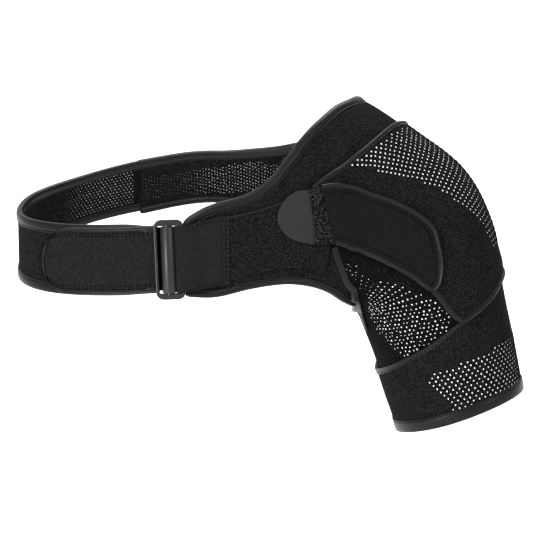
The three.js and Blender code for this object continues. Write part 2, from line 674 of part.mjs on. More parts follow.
function angleAt(distance) {
  let i = 1;
  while (i < STRAP_MARKS && strapLengths[i] < distance) i += 1;
  const share = (distance - strapLengths[i - 1]) / (strapLengths[i] - strapLengths[i - 1]);
  return lerp(strapMarks[i - 1], strapMarks[i], share);
}

// The strap as a surface: a place is the distance from the buckle and the height over its middle line
const STRAP = {
  point: ([distance, up]) => {
    const section = strapSection(angleAt(distance));
    return section.middle.addScaledVector(section.up, up);
  },
  normal: ([distance]) => strapSection(angleAt(distance)).out,
  walk: ([distance, up], direction, length) => {
    const section = strapSection(angleAt(distance));
    const along = section.up.clone().cross(section.out);
    return [distance + direction.dot(along) * length, up + direction.dot(section.up) * length];
  },
};

// Point of a piece on the strap, by the distance from the buckle's left bar
const strapSpot = (distance, up, height) => byBuckle(-barX - distance, up, height)
  .lerp(lay(STRAP, [Math.max(distance, 0), up], height), smooth((distance - NEAR) / EASE));

// Folded strip along a path of distance and height, with its half width and shift by distance
function fold(path, wall, halfWidth, shift, spot) {
  const sides = [-1, -1 / 3, 1 / 3, 1];
  const rows = path.map(([distance, height, share = 1], i) => {
    const before = path[Math.max(i - 1, 0)];
    const after = path[Math.min(i + 1, path.length - 1)];
    const run = new THREE.Vector2(after[0] - before[0], after[1] - before[1]).normalize();
    return [0.5, -0.5].map((side) => sides.map((w) => spot(
      distance - run.y * side * wall * share,
      shift(distance) + w * halfWidth(distance),
      height + run.x * side * wall * share,
    )));
  });
  return slab(rows.map((row) => row[0]), rows.map((row) => row[1]));
}

const barGap = BUCKLE_WALL / 2 + TAPE_GAP;
const foldReach = BUCKLE_SIDE / 2 + TAPE_GAP;
const openHalf = OPENING_HEIGHT / 2 - TAPE_GAP;
const strapTaper = (distance) => smooth((distance - NEAR) / (STRAP_START - NEAR));
const strapHalf = (distance) =>
  lerp(openHalf, strapSection(angleAt(Math.max(distance, 0))).width / 2, strapTaper(distance));

// Path round a bar from under it to over it: distance from the bar and height over the skin
function roundBar(wall) {
  const low = BUCKLE_LIFT - barGap - wall / 2;
  const high = BUCKLE_LIFT + barGap + wall / 2;
  const side = -foldReach - wall / 2;
  return [
    [BAR_FOLD / 2, low],
    [side + BAR_FOLD * 0.8, low + BAR_FOLD / 4],
    [side, low + BAR_FOLD],
    [side, BUCKLE_LIFT],
    [side, high - BAR_FOLD],
    [side + BAR_FOLD * 0.8, high - BAR_FOLD / 4],
    [BAR_FOLD / 2, high],
  ];
}

// The strap thins from the cloth's wall to its folded hem, which goes round the buckle's left bar
const strapMiddle = (share) => lerp(WALL / 2, BUCKLE_LIFT - barGap - FOLD_WALL / 2, smooth(share));
const strapEase = [0.3, 0.6, 0.8].map((share) => [
  lerp(STRAP_START, 0, share),
  strapMiddle(share / 0.8),
  lerp(WALL / FOLD_WALL, 1, share / 0.8),
]);
const strapFar = strapLength - STRAP_JOIN_GAP;
const strapPath = [
  ...steps(STRAP_STEPS).map((share) => [lerp(strapFar, STRAP_START, share), WALL / 2, WALL / FOLD_WALL]),
  ...strapEase,
  ...roundBar(FOLD_WALL),
  [FOLD_LAP, BUCKLE_LIFT + barGap + FOLD_WALL / 2],
];
add('torso_strap', fold(strapPath, FOLD_WALL, strapHalf, () => 0, strapSpot), fleece);

const strapTape = (side) => steps(STRAP_STEPS).map((share) => {
  const distance = lerp(STRAP_START, strapFar, side > 0 ? share : 1 - share);
  return [distance, side * strapHalf(distance)];
});
add('strap_top_binding', edgeTape(STRAP, strapTape(1), STRAP_TAPE, flat(0), WALL), satin);
add('strap_bottom_binding', edgeTape(STRAP, strapTape(-1), STRAP_TAPE, flat(0), WALL), satin);

// Hook end folded back over the strap, with a round far end
const END_BASE = WALL + TAPE_GAP + TAPE_WALL + TAPE_GAP;
const endTop = BUCKLE_LIFT + barGap + FOLD_WALL / 2;
const endHeight = (distance) =>
  lerp(endTop, END_BASE + STRAP_END_WALL / 2, smooth((distance - NEAR) / END_EASE));
const endHalf = (distance) => {
  const near = clamp(1 - (STRAP_END_LENGTH - distance) / STRAP_END_ROUND, 0, 1);
  const round = (1 - near ** STRAP_END_POWER) ** (1 / STRAP_END_POWER);
  return lerp(openHalf, STRAP_END_WIDTH / 2, strapTaper(distance)) * Math.max(round, 0.05);
};
const endShift = (distance) => -((STRAP_WIDTH - STRAP_END_WIDTH) / 2) * strapTaper(distance);
const endStraight = STRAP_END_LENGTH - STRAP_END_ROUND;
const endRows = [
  ...steps(14).map((share) => lerp(STRAP_END_START, endStraight, share)),
  ...[0.25, 0.5, 0.7, 0.85, 0.95, 1].map((share) => endStraight + STRAP_END_ROUND * share),
];
const endPath = endRows.map((distance) => [distance, endHeight(distance)]);
add('strap_end', fold(endPath, STRAP_END_WALL, endHalf, endShift, strapSpot), smoothCloth);

// The hook end as a surface, for the tape round its edge
const END = {
  point: ([distance, up]) => strapSpot(distance, up, endHeight(distance) - STRAP_END_WALL / 2),
  normal: ([distance, up]) => {
    const across = END.point([distance, up + 1]).sub(END.point([distance, up - 1]));
    const along = END.point([distance + 1, up]).sub(END.point([distance - 1, up]));
    return along.cross(across).normalize().negate();
  },
  walk: STRAP.walk,
};
const endEdge = (side) => endRows.map((distance) => [distance, endShift(distance) + side * endHalf(distance)]);
const endTapePath = [...endEdge(1), ...endEdge(-1).toReversed()];
add('strap_end_binding', edgeTape(END, endTapePath, STRAP_END_TAPE, flat(0), STRAP_END_WALL,
  { folded: false }), satin);

// Webbing loop round the buckle's right bar, sewn over the overlay
const loopStart = placeUnder(byBuckle(barX, 0, 0));
const loopTop = OVERLAY_BASE + OVERLAY_WALL + TAPE_GAP + WEBBING / 2;
const loopUnder = WALL + UNDERARM_GAP + TAPE_WALL + TAPE_GAP + WEBBING / 2;
const loopLow = BUCKLE_LIFT - barGap - WEBBING / 2;
const loopHigh = BUCKLE_LIFT + barGap + WEBBING / 2;
const loopDrop = (share) => lerp(loopHigh, loopTop, smooth(share));
const loopPath = [
  ...[1, 0.8, 0.6].map((share) => [LOOP_LENGTH * share, loopTop]),
  ...[0.8, 0.5, 0.25].map((share) => [LOOP_LENGTH * 0.6 * share, loopDrop(share)]),
  ...roundBar(WEBBING).toReversed(),
  [LOOP_LAP / 2, loopLow],
  [LOOP_LAP, loopUnder],
];
const loopHalf = (distance) => lerp(openHalf, LOOP_WIDTH / 2, smooth(distance / LOOP_LENGTH));
const loopShift = (distance) => LOOP_RISE * smooth(distance / LOOP_LENGTH);
const loopSpot = (distance, up, height) => byBuckle(barX + distance, up, height)
  .lerp(byChest(loopStart, distance, up, height), smooth((distance - NEAR) / EASE));
add('buckle_loop', fold(loopPath, WEBBING, loopHalf, loopShift, loopSpot), smoothCloth);

// Tape inside the seam between strap and yoke on the back
const seamSpots = steps(6).map((share) => {
  const up = lerp(-0.5, 0.5, share) * (strapSection(backAngle).width - 2 * STRAP_TAPE - 2);
  return [[strapLength - SEAM_LAP, up], [strapLength - STRAP_JOIN_GAP / 2, up]];
});
add('strap_seam_tape', panel(STRAP, seamSpots, flat(-TAPE_GAP - TAPE_WALL), TAPE_WALL), satin);

export default group;
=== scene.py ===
"""Shoulder brace in its worn form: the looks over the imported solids.

Lengths are in millimetres until a mesh is made, and +Z is up.
"""

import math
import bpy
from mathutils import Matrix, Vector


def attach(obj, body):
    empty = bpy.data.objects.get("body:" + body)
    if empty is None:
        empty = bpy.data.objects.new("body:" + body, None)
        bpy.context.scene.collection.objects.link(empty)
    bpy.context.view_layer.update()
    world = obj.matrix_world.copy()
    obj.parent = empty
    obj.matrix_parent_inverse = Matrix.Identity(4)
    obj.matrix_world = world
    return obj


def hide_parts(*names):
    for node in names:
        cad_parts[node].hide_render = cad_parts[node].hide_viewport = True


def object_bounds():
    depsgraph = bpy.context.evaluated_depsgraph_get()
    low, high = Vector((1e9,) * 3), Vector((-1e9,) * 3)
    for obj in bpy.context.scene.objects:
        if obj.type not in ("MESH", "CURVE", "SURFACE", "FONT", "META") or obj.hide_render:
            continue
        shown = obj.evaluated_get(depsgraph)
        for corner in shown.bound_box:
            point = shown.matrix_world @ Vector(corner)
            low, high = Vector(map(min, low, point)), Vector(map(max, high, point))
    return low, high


bl_info = {
    "name": "Shoulder brace",
    "version": (1, 0, 0),
    "blender": (4, 5, 0),
    "location": "3D View > Sidebar > Brace",
    "description": "Builds a shoulder brace with its cloth, tapes, stitches and buckle",
    "category": "Object",
}

import bmesh
import bpy
import numpy as np
from bpy.props import FloatProperty, FloatVectorProperty, IntProperty, PointerProperty
from mathutils import Matrix, Vector

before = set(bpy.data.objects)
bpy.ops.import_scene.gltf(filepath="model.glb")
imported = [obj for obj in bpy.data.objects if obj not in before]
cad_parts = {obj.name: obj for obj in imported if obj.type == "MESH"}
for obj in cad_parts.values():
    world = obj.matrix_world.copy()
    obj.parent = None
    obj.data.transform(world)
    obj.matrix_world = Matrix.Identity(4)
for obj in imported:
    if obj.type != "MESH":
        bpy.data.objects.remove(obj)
CAD_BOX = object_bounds()
MM = 0.001

# Widths of the tapes, and how far in from a tape's inner edge its stitches run
NECK_TAPE = 7.4
UNDERARM_TAPE = 5.6
CUFF_TAPE = 4.0
HEM_TAPE = 10.2
FLAP_TAPE = 3.9
PATCH_TAPE = 3.0
STRAP_TAPE = 7.6
END_TAPE = 2.6
STITCH_IN = 1.3
# Distances of stitch rows from an edge: on the patch, the strap, the hook end and the webbing
PATCH_ROW = 6.0
STRAP_ROW = 6.3
END_STITCHES = (4.3, 6.4)
WEBBING_STITCHES = (1.9, 5.6)
LOOP_STITCHED = 0.93
STRIP_STITCHES = (0.14, 0.86)

# Worn form
ARM_RADIUS = 60
SHOULDER_RADIUS = 70
CHEST_DEPTH = 100
ARM_LENGTH = 112
ARMPIT_REACH = 70
ARM_LEAN = 15
ARM_FORWARD = 9
CHEST_SPAN = 192
CHEST_DROP = 66
ARMPIT_X = -48
ARMPIT_Z = -152
ARM_OFFSET = 8

# Cloth walls and the gaps between layers
WALL = 2.6
CUFF_WALL = 2.0
OVERLAY_WALL = 1.8
FLAP_WALL = 2.0
PATCH_WALL = 1.6
TAB_WALL = 1.2
STRIP_WALL = 1.7
TAPE_WALL = 0.6
WEBBING = 1.1
FOLD_WALL = 1.2
LAYER_GAP = 0.5
TAPE_GAP = 0.4
WIDE_GAP = 0.85
UNDERARM_GAP = 0.95
SEAM_GAP = 0.5
CUFF_BASE = WALL + LAYER_GAP
OVERLAY_BASE = WALL + LAYER_GAP
FLAP_BASE = OVERLAY_BASE + TAPE_WALL + LAYER_GAP
TAB_BASE = OVERLAY_BASE + OVERLAY_WALL + LAYER_GAP
STRIP_BASE = TAB_BASE + TAB_WALL + LAYER_GAP
OVERLAY_EDGE = 2.03
OVERLAY_EASE = 0.05
CUFF_EDGE = 1.06
CUFF_EASE = 0.1

# Chest strap and buckle
STRAP_WIDTH = 57
STRAP_REACH = 139.2
STRAP_LEVEL = -83
STRAP_CENTRE = -186
STRAP_POWER = 2.5
STRAP_START = 28
STRAP_END_LENGTH = 93
STRAP_END_WIDTH = 52.5
STRAP_END_WALL = 1.8
STRAP_END_ROUND = 24
STRAP_END_POWER = 2.2
LOOP_LENGTH = 35
LOOP_WIDTH = 53
LOOP_RISE = 6
NEAR = 4
EASE = 16
END_EASE = 24
BUCKLE_WIDTH = 23.5
BUCKLE_HEIGHT = 63
BUCKLE_WALL = 3.2
BUCKLE_RAIL = 5
BUCKLE_SIDE = 2.6
BUCKLE_CORNER = 6
OPENING_CORNER = 1.4
FRAME_BEVEL = 0.95
BUCKLE_LIFT = 7.4
BUCKLE_ROLL = 2
BAR_DIAMETER = 10.2
BAR_NECK = 5
ROLLER_RADIUS = 5.6
ROLLER_OFFSET = -1.1
BAR_GAP = 1
OPENING_HEIGHT = BUCKLE_HEIGHT - 2 * BUCKLE_RAIL

# Sections of the worn form: station, size, then its shares on top, under, in front and behind, power
SECTIONS = [
    (0.00, ARM_RADIUS, 0.867, 0.85, 0.85, 0.867, 2),
    (0.50, ARM_RADIUS, 0.917, 0.917, 0.933, 0.933, 2),
    (1.00, ARM_RADIUS, 0.967, 1.017, 1.017, 1.033, 2.05),
    (1.25, SHOULDER_RADIUS, 0.971, 0.914, 0.9, 0.929, 2.1),
    (1.50, SHOULDER_RADIUS, 1.143, 0.943, 0.929, 0.971, 2.1),
    (1.75, SHOULDER_RADIUS, 1.257, 0.943, 0.971, 1.014, 2.1),
    (2.00, SHOULDER_RADIUS, 1.571, 0.943, 1.043, 1.086, 2.15),
    (2.22, CHEST_DEPTH, 1.26, 0.7, 0.85, 0.87, 2.2),
    (2.45, CHEST_DEPTH, 1.45, 0.85, 0.96, 0.97, 2.25),
    (2.70, CHEST_DEPTH, 1.68, 0.9, 1.01, 1.01, 2.25),
    (3.00, CHEST_DEPTH, 1.95, 0.9, 0.97, 0.97, 2.25),
]
# Chest strap: angle round the body, then rise, width, depth and lean
STRAP_ROWS = [
    (0, 0.04, 0.965, 0.988, 8),
    (45, -0.065, 0.965, 0.98, 8),
    (90, -0.085, 0.93, 0.96, 1),
    (135, 0.085, 0.84, 0.946, 11),
    (180, 0.4, 0.86, 0.946, 12),
]

# Outlines on the worn form: angle round the arm or chest, station from the hem to the back's end
NECK_EDGE = [
    (52.3, 2.7), (50.4, 2.6), (50.6, 2.5), (49.8, 2.43), (46.5, 2.36), (42.5, 2.32), (39, 2.29), (37.5, 2.275),
    (36, 2.262), (35, 2.255), (34, 2.25), (30.5, 2.22), (26.5, 2.185), (21, 2.135), (15, 2.085), (10, 2.04),
    (5, 2.005), (0, 1.985),
    (-7, 1.985), (-14, 1.995), (-22, 2.02), (-30, 2.055), (-37, 2.09), (-42, 2.13), (-44.5, 2.155), (-47, 2.18),
    (-47.8, 2.19), (-48.2, 2.2), (-48.7, 2.21), (-49.5, 2.25), (-50.5, 2.32), (-50.5, 2.42), (-49, 2.55),
    (-45.5, 2.7), (-40, 2.97),
]
ARM_SIDE_EDGE = [
    (82.6, 2.7), (88.3, 2.58), (90.3, 2.46), (92.8, 2.36), (96.5, 2.27), (103.2, 2.18), (111.2, 2.115), (117, 2.085),
    (122.5, 2.062), (126, 2.045), (116, 2.025), (98, 2.068), (84, 2.095), (64, 2.06), (47, 2), (32, 1.93),
    (16, 1.86), (0, 1.82),
    (-16, 1.84), (-32, 1.88), (-47, 1.94), (-64, 2), (-84, 2.055), (-98, 2.045), (-116, 2.02), (-126, 2.045),
    (-121, 2.062), (-115, 2.085), (-108, 2.115), (-99, 2.17), (-90, 2.25), (-81, 2.4), (-73.5, 2.55),
    (-68, 2.7), (-61, 2.97),
]
YOKE_ROWS = len(NECK_EDGE) - 1
ROW_STEPS = 8
YOKE_STEPS = YOKE_ROWS * ROW_STEPS
FRONT_CORNER_ROW = 9
BACK_CORNER_ROW = 25
ARMPIT_EDGE = [
    (126, 2.045), (143, 1.96), (158, 1.76), (171, 1.4), (180, 1.15), (189, 1.4), (202, 1.76), (217, 1.96),
    (234, 2.045),
]
ARMHOLE_SEAM = [
    (84, 2.09), (98, 2.06), (114, 2.015), (131, 1.9), (147, 1.6), (156, 1.2), (160, 0.95), (162, 0.84),
]
HEM_LINE = [(-180, 0.0), (-120, 0.04), (-60, 0.1), (0, 0.1), (60, 0.1), (120, 0.05), (180, 0.0)]
CUFF_LINE = [
    (-180, 0.5), (-150, 0.56), (-110, 0.7), (-60, 0.9), (0, 1.01), (40, 0.96), (60, 0.875), (78, 0.8), (102, 0.695),
    (130, 0.605), (160, 0.53), (180, 0.5),
]
FLAP_TOP = [
    (51.3, 2.19), (46, 2.118), (42, 2.055), (33.5, 1.97), (24.5, 1.91), (12.5, 1.855), (0, 1.81), (-15, 1.8),
    (-32, 1.83), (-50, 1.92), (-62, 2.0),
]
FLAP_BOTTOM = [
    (81, 2.105), (87.6, 1.99), (94.6, 1.7), (96.4, 1.4), (91.3, 1.1), (79.5, 0.82), (63, 0.825), (22, 0.985),
    (-22, 1.03), (-58, 1.27), (-80, 1.6),
]
PATCH_TOP = [
    (51, 2.155), (50.7, 2.1), (51.8, 2.04), (54.3, 1.94), (56.2, 1.8), (58, 1.65), (61, 1.51),
    (68, 1.4), (76.5, 1.26),
]
PATCH_BOTTOM = [
    (80.8, 2.1), (83.5, 2.06), (88, 2), (93, 1.8), (96.6, 1.55), (96.3, 1.34), (94.2, 1.18),
    (89.5, 1.115), (83.5, 1.15),
]
STRIP_LEFT = [(52.5, 2.205), (64, 2.187), (79, 2.18)]
STRIP_RIGHT = [(51.5, 2.17), (64, 2.14), (81, 2.115)]
TAB_ROOT = [(52, 2.172), (66, 2.145), (80, 2.122)]
TAB_OUTLINE = [(52.5, 2.2), (52.2, 2.25), (55, 2.3), (61, 2.33), (68, 2.31), (74, 2.26), (78.5, 2.185)]
OVERLAY_TOP = [(56, 2.62), (56.5, 2.53), (57, 2.42), (56, 2.31), (55, 2.22), (54, 2.13), (55, 2.09)]
OVERLAY_BOTTOM = [(80, 2.62), (83, 2.53), (84.5, 2.42), (86.5, 2.31), (91, 2.22), (97, 2.14), (84, 2.11)]

# Perforations keep this far, in stations, from the flap's tape, and are small in the sleeve's armhole above a station
FLAP_HOLES_MARGIN = 0.032
LATTICE_RISE = 5.5
ARMHOLE_STATION = 1.68

# How much further, in stations, the strip reaches under the patch
STRIP_TUCK = 0.02

# Perforated zones: the angles between which they lie, by station
FLAP_HOLES = [(1.16, -34, 30), (1.26, -36, 31), (1.42, -38, 37), (1.6, -40, 39), (1.8, -40, 42), (2.05, -42, 44)]
SLEEVE_HOLES = [
    (0.62, 92, 128), (0.74, 86, 139), (0.865, 82, 148), (1.055, 96, 149), (1.3, 107, 143), (1.6, 111, 132),
    (1.8, 110, 122), (1.92, 106, 118), (2.0, 98, 110), (2.04, 92, 100),
]
CUFF_HOLES = [
    (0.13, -25, 97), (0.22, -25, 100), (0.42, -25, 113), (0.465, -25, 109), (0.495, -25, 89), (0.515, -25, 75),
    (0.53, -25, 50),
]
BACK_HOLES = [
    (2.3, -72, -60), (2.4, -71.5, -56.5), (2.5, -70, -55), (2.6, -67, -54.5), (2.75, -62, -51.5),
    (2.9, -57, -48), (2.95, -55, -46),
]


def smooth(x):
    x = np.clip(x, 0, 1)
    return x * x * (3 - 2 * x)


def lerp(a, b, share):
    return a + (b - a) * share


def unit(v):
    return v / np.maximum(np.linalg.norm(v, axis=-1, keepdims=True), 1e-12)


def stack(*parts):
    return np.stack(np.broadcast_arrays(*[np.asarray(p, float) for p in parts]), axis=-1)


def read_column(places, values, at):
    """Smooth reading of a table's column between its rows."""
    places = np.asarray(places, float)
    values = np.asarray(values, float)
    last = len(places) - 1
    i = np.clip(np.searchsorted(places, at) - 1, 0, last - 1)
    low = np.maximum(np.arange(last + 1) - 1, 0)
    high = np.minimum(np.arange(last + 1) + 1, last)
    slope = (values[high] - values[low]) / (places[high] - places[low])
    step = places[i + 1] - places[i]
    u = np.clip((at - places[i]) / step, 0, 1)
    bend = u * (1 - u) ** 2 * slope[i] + u * u * (u - 1) * slope[i + 1]
    return lerp(values[i], values[i + 1], smooth(u)) + step * bend


def read_pairs(pairs, at):
    return read_column([p[0] for p in pairs], [p[1] for p in pairs], at)


def along_outline(outline, shares):
    """Points of an outline at shares of the way along its rows."""
    rows = np.array(outline, float)
    at = np.asarray(shares, float) * (len(rows) - 1)
    places = np.arange(len(rows))
    return stack(read_column(places, rows[:, 0], at), read_column(places, rows[:, 1], at))


STATIONS = [row[0] for row in SECTIONS]
SIZED = {
    name: [row[1] * row[k] for row in SECTIONS]
    for k, name in ((2, "top"), (3, "under"), (4, "front"), (5, "back"))
}
POWERS = [row[6] for row in SECTIONS]


def skin(angle, station):
    """Points of the worn form's skin."""
    angle = np.radians(angle)
    turn = np.radians(lerp(ARM_LEAN, 90, np.clip(station - 1, 0, 1)))
    forward = math.radians(ARM_FORWARD) * smooth(2 - station)
    arm = np.clip(1 - station, 0, 1) * ARM_LENGTH
    chest = np.clip(station - 2, 0, 1)
    swing = math.cos(math.radians(ARM_FORWARD)) * arm
    lean = math.radians(ARM_LEAN)
    middle = stack(
        ARMPIT_X + ARMPIT_REACH * np.cos(turn) + math.sin(lean) * swing - CHEST_SPAN * chest,
        -ARM_OFFSET * np.clip(2 - station, 0, 1) - math.sin(math.radians(ARM_FORWARD)) * arm,
        ARMPIT_Z + ARMPIT_REACH * np.sin(turn) - math.cos(lean) * swing - CHEST_DROP * chest**1.3,
    )
    c, s = np.cos(angle), np.sin(angle)
    read = {name: read_column(STATIONS, SIZED[name], station) for name in SIZED}
    high = np.where(c >= 0, read["top"], read["under"])
    side = np.where(s >= 0, read["front"], read["back"])
    power = read_column(STATIONS, POWERS, station)
    reach = (np.abs(c / high) ** power + np.abs(s / side) ** power) ** (-1 / power)
    top = stack(np.cos(turn), 0, np.sin(turn))
    front = stack(0, -np.cos(forward), np.sin(forward))
    return middle + top * (c * reach)[..., None] + front * (s * reach)[..., None]


class Body:
    """The worn form as a surface that pieces lie on: a place is an angle and a station."""

    def slopes(self, places):
        angle, station = places[..., 0], places[..., 1]
        round_ = (skin(angle + 0.05, station) - skin(angle - 0.05, station)) / 0.1
        low = np.maximum(station - 0.001, 0)
        high = np.minimum(station + 0.001, 3)
        along = (skin(angle, high) - skin(angle, low)) / (high - low)[..., None]
        return round_, along

    def point(self, places):
        return skin(places[..., 0], places[..., 1])

    def normal(self, places):
        round_, along = self.slopes(places)
        return unit(np.cross(along, round_))

    def walk(self, places, direction, distance):
        for _ in range(4):
            round_, along = self.slopes(places)
            a, b, c = (round_**2).sum(-1), (round_ * along).sum(-1), (along**2).sum(-1)
            p, q = (direction * round_).sum(-1), (direction * along).sum(-1)
            share = distance / 4 / (a * c - b * b)
            places = places + stack(share * (c * p - b * q), share * (a * q - b * p))
        return places


BODY = Body()


def strap_section(angle):
    """Upright sections of the chest strap: middle, up, out and width."""
    columns = [read_column([r[0] for r in STRAP_ROWS], [r[k] for r in STRAP_ROWS], angle) for k in range(1, 5)]
    rise, width, depth, lean = columns
    turn = np.radians(angle)
    bend = 2 / STRAP_POWER
    x = -STRAP_REACH * np.sign(np.sin(turn)) * np.abs(np.sin(turn)) ** bend
    y = -CHEST_DEPTH * depth * np.sign(np.cos(turn)) * np.abs(np.cos(turn)) ** bend
    power = STRAP_POWER - 1
    level = unit(stack(
        np.sign(x) * np.abs(x / STRAP_REACH) ** power / STRAP_REACH,
        np.sign(y) * np.abs(y / (CHEST_DEPTH * depth)) ** power / (CHEST_DEPTH * depth),
        0,
    ))
    lean = np.radians(lean)[..., None]
    high = np.array([0.0, 0.0, 1.0])
    return (
        stack(STRAP_CENTRE + x, y, STRAP_LEVEL + STRAP_WIDTH * rise),
        high * np.cos(lean) - level * np.sin(lean),
        level * np.cos(lean) + high * np.sin(lean),
        STRAP_WIDTH * width,
    )


def strap_angle(x, on_back):
    """Angle round the body at which the strap has a place along X."""
    share = (STRAP_CENTRE - x) / STRAP_REACH
    turn = math.degrees(math.asin(math.copysign(abs(share) ** (STRAP_POWER / 2), share)))
    return 180 - turn if on_back else turn


def buckle_frame():
    """The buckle's own axes and its middle, in millimetres."""
    yoke_front = skin(np.array(66.0), np.array(NECK_EDGE[0][1]))[0]
    x = yoke_front - BUCKLE_WIDTH / 2
    middle, up, out, _ = strap_section(np.array(strap_angle(x, False)))
    across = Vector((1, 0, 0))
    turn = Matrix((across, Vector(up), across.cross(Vector(up)))).transposed().to_4x4()
    place = Matrix.Translation(Vector(middle + out * BUCKLE_LIFT))
    return x, up, place @ turn @ Matrix.Rotation(math.radians(BUCKLE_ROLL), 4, "Z")


BUCKLE_X, BUCKLE_UP, BUCKLE_PLACE = buckle_frame()
BAR_X = BUCKLE_WIDTH / 2 - BUCKLE_SIDE / 2
_ends = (
    strap_angle(BUCKLE_X - BAR_X, False),
    strap_angle(skin(np.array(-55.0), np.array(NECK_EDGE[-1][1]))[0], True),
)
STRAP_MARKS = lerp(*_ends, np.arange(165) / 160)
_steps = np.linalg.norm(np.diff(strap_section(STRAP_MARKS)[0], axis=0), axis=-1)
STRAP_LENGTHS = np.concatenate([[0], np.cumsum(_steps)])
STRAP_LENGTH = STRAP_LENGTHS[160]


class Strap:
    """The chest strap as a surface: a place is the distance from the buckle and the height."""

    def section(self, places):
        return strap_section(np.interp(places[..., 0], STRAP_LENGTHS, STRAP_MARKS))

    def point(self, places):
        middle, up, _, _ = self.section(places)
        return middle + up * places[..., 1:]

    def normal(self, places):
        return self.section(places)[2]

    def walk(self, places, direction, distance):
        _, up, out, _ = self.section(places)
        along = np.cross(up, out)
        return places + stack((direction * along).sum(-1), (direction * up).sum(-1)) * np.asarray(distance)[..., None]


STRAP = Strap()


def lay(on, places, height):
    """Points at a height over a surface."""
    return on.point(places) + on.normal(places) * np.asarray(height, float)[..., None]


def by_buckle(x, y, z):
    """Points in the buckle's own frame, with the height counted from the strap."""
    matrix = np.array(BUCKLE_PLACE)
    return stack(x, y, np.asarray(z) - BUCKLE_LIFT) @ matrix[:3, :3].T + matrix[:3, 3]


def strap_spot(distance, up, height):
    """Points of a piece on the strap, by the distance from the buckle's left bar."""
    near = by_buckle(-BAR_X - distance, up, height)
    far = lay(STRAP, stack(np.maximum(distance, 0), up), height)
    return lerp(near, far, smooth((distance - NEAR) / EASE)[..., None])


def chest_start():
    """Place on the chest's skin under the buckle's right bar."""
    place = np.array([66.0, NECK_EDGE[0][1]])
    point = by_buckle(BAR_X, 0, 0)
    for _ in range(4):
        place = BODY.walk(place, point - BODY.point(place), np.array(1.0))
    return place


CHEST_START = chest_start()


def loop_spot(distance, up, height):
    """Points of the webbing loop, by the distance from the buckle's right bar."""
    distance, up, height = np.broadcast_arrays(distance, up, height)
    places = np.broadcast_to(CHEST_START, distance.shape + (2,))
    places = BODY.walk(places, BUCKLE_UP, up)
    places = BODY.walk(places, np.array([1.0, 0, 0]), distance)
    near = by_buckle(BAR_X + distance, up, height)
    return lerp(near, lay(BODY, places, height), smooth((distance - NEAR) / EASE)[..., None])


def seam_base(places):
    """Height of the armhole's tape, which rises over the underarm's tape."""
    return OVERLAY_BASE - 0.4 + 1.3 * smooth((places[..., 0] - 96) / 34)


def flap_closeness(station):
    """How far the flap lies nearer to the arm, away from its fastened end."""
    return 1.1 * smooth((1.85 - station) / 0.4)


def flap_base(places):
    """Height of the flap, which steps over the overlay's end and over the cuff."""
    station = places[..., 1]
    over = (OVERLAY_WALL - TAPE_WALL) * smooth((station - OVERLAY_EDGE) / OVERLAY_EASE)
    cuff = (CUFF_WALL + 0.3) * smooth((CUFF_EDGE - station) / CUFF_EASE + 1)
    return FLAP_BASE + over + cuff - flap_closeness(station)


def patch_base(places):
    """Height of the patch, which rises over the flap's step in a longer curve."""
    over = (OVERLAY_WALL - TAPE_WALL) * smooth((places[..., 1] - 1.9) / 0.18)
    return FLAP_BASE + over - flap_closeness(places[..., 1]) + FLAP_WALL + WIDE_GAP + TAPE_WALL


def level(height):
    return lambda places: np.full(places.shape[:-1], float(height))


# Making meshes


def finish_piece(name, mesh, finishes, nodes=(), slot="fleece", sharp=45):
    """Object of a mesh with its finishes, riding on the root and standing for CAD nodes."""
    for finish in finishes:
        mesh.materials.append(plastic() if finish == "buckle plastic" else cloth_finish(finish))
    mesh.shade_smooth()
    mesh.set_sharp_from_angle(angle=math.radians(sharp))
    piece = bpy.data.objects.new(name, mesh)
    bpy.context.scene.collection.objects.link(piece)
    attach(piece, "root")
    if nodes:
        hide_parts(*nodes)
    return piece


def mesh_from(name, points, faces, uv=None, index=None):
    """Mesh of points in millimetres, with UVs in centimetres by point."""
    mesh = bpy.data.meshes.new(name)
    mesh.from_pydata((np.asarray(points) * MM).tolist(), [], [list(map(int, f)) for f in faces])
    if uv is not None:
        layer = mesh.uv_layers.new(name="cloth")
        corner = np.zeros(len(mesh.loops), dtype=np.int32)
        mesh.loops.foreach_get("vertex_index", corner)
        layer.data.foreach_set("uv", (np.asarray(uv)[corner] / 10).astype(np.float32).ravel())
    if index is not None:
        mesh.polygons.foreach_set("material_index", np.asarray(index, dtype=np.int32))
    facing_out(mesh)
    mesh.update()
    return mesh


def facing_out(mesh):
    """Turns the faces outward."""
    tool = bmesh.new()
    tool.from_mesh(mesh)
    bmesh.ops.recalc_face_normals(tool, faces=tool.faces)
    tool.to_mesh(mesh)
    tool.free()


def grid_faces(rows, columns, first=0, ringed=False, round_=False):
    """Quads of a grid of points, closed along its rows or round its columns."""
    i = np.arange(rows if ringed else rows - 1)
    k = np.arange(columns if round_ else columns - 1)
    i, k = np.meshgrid(i, k, indexing="ij")
    ahead, aside = (i + 1) % rows, (k + 1) % columns
    quads = stack(i * columns + k, ahead * columns + k, ahead * columns + aside, i * columns + aside)
    return quads.reshape(-1, 4).astype(int) + first


def lengths(points):
    """Distance run along the first axis of a grid of points."""
    steps = np.linalg.norm(np.diff(points, axis=0), axis=-1)
    return np.concatenate([np.zeros((1,) + steps.shape[1:]), np.cumsum(steps, axis=0)])


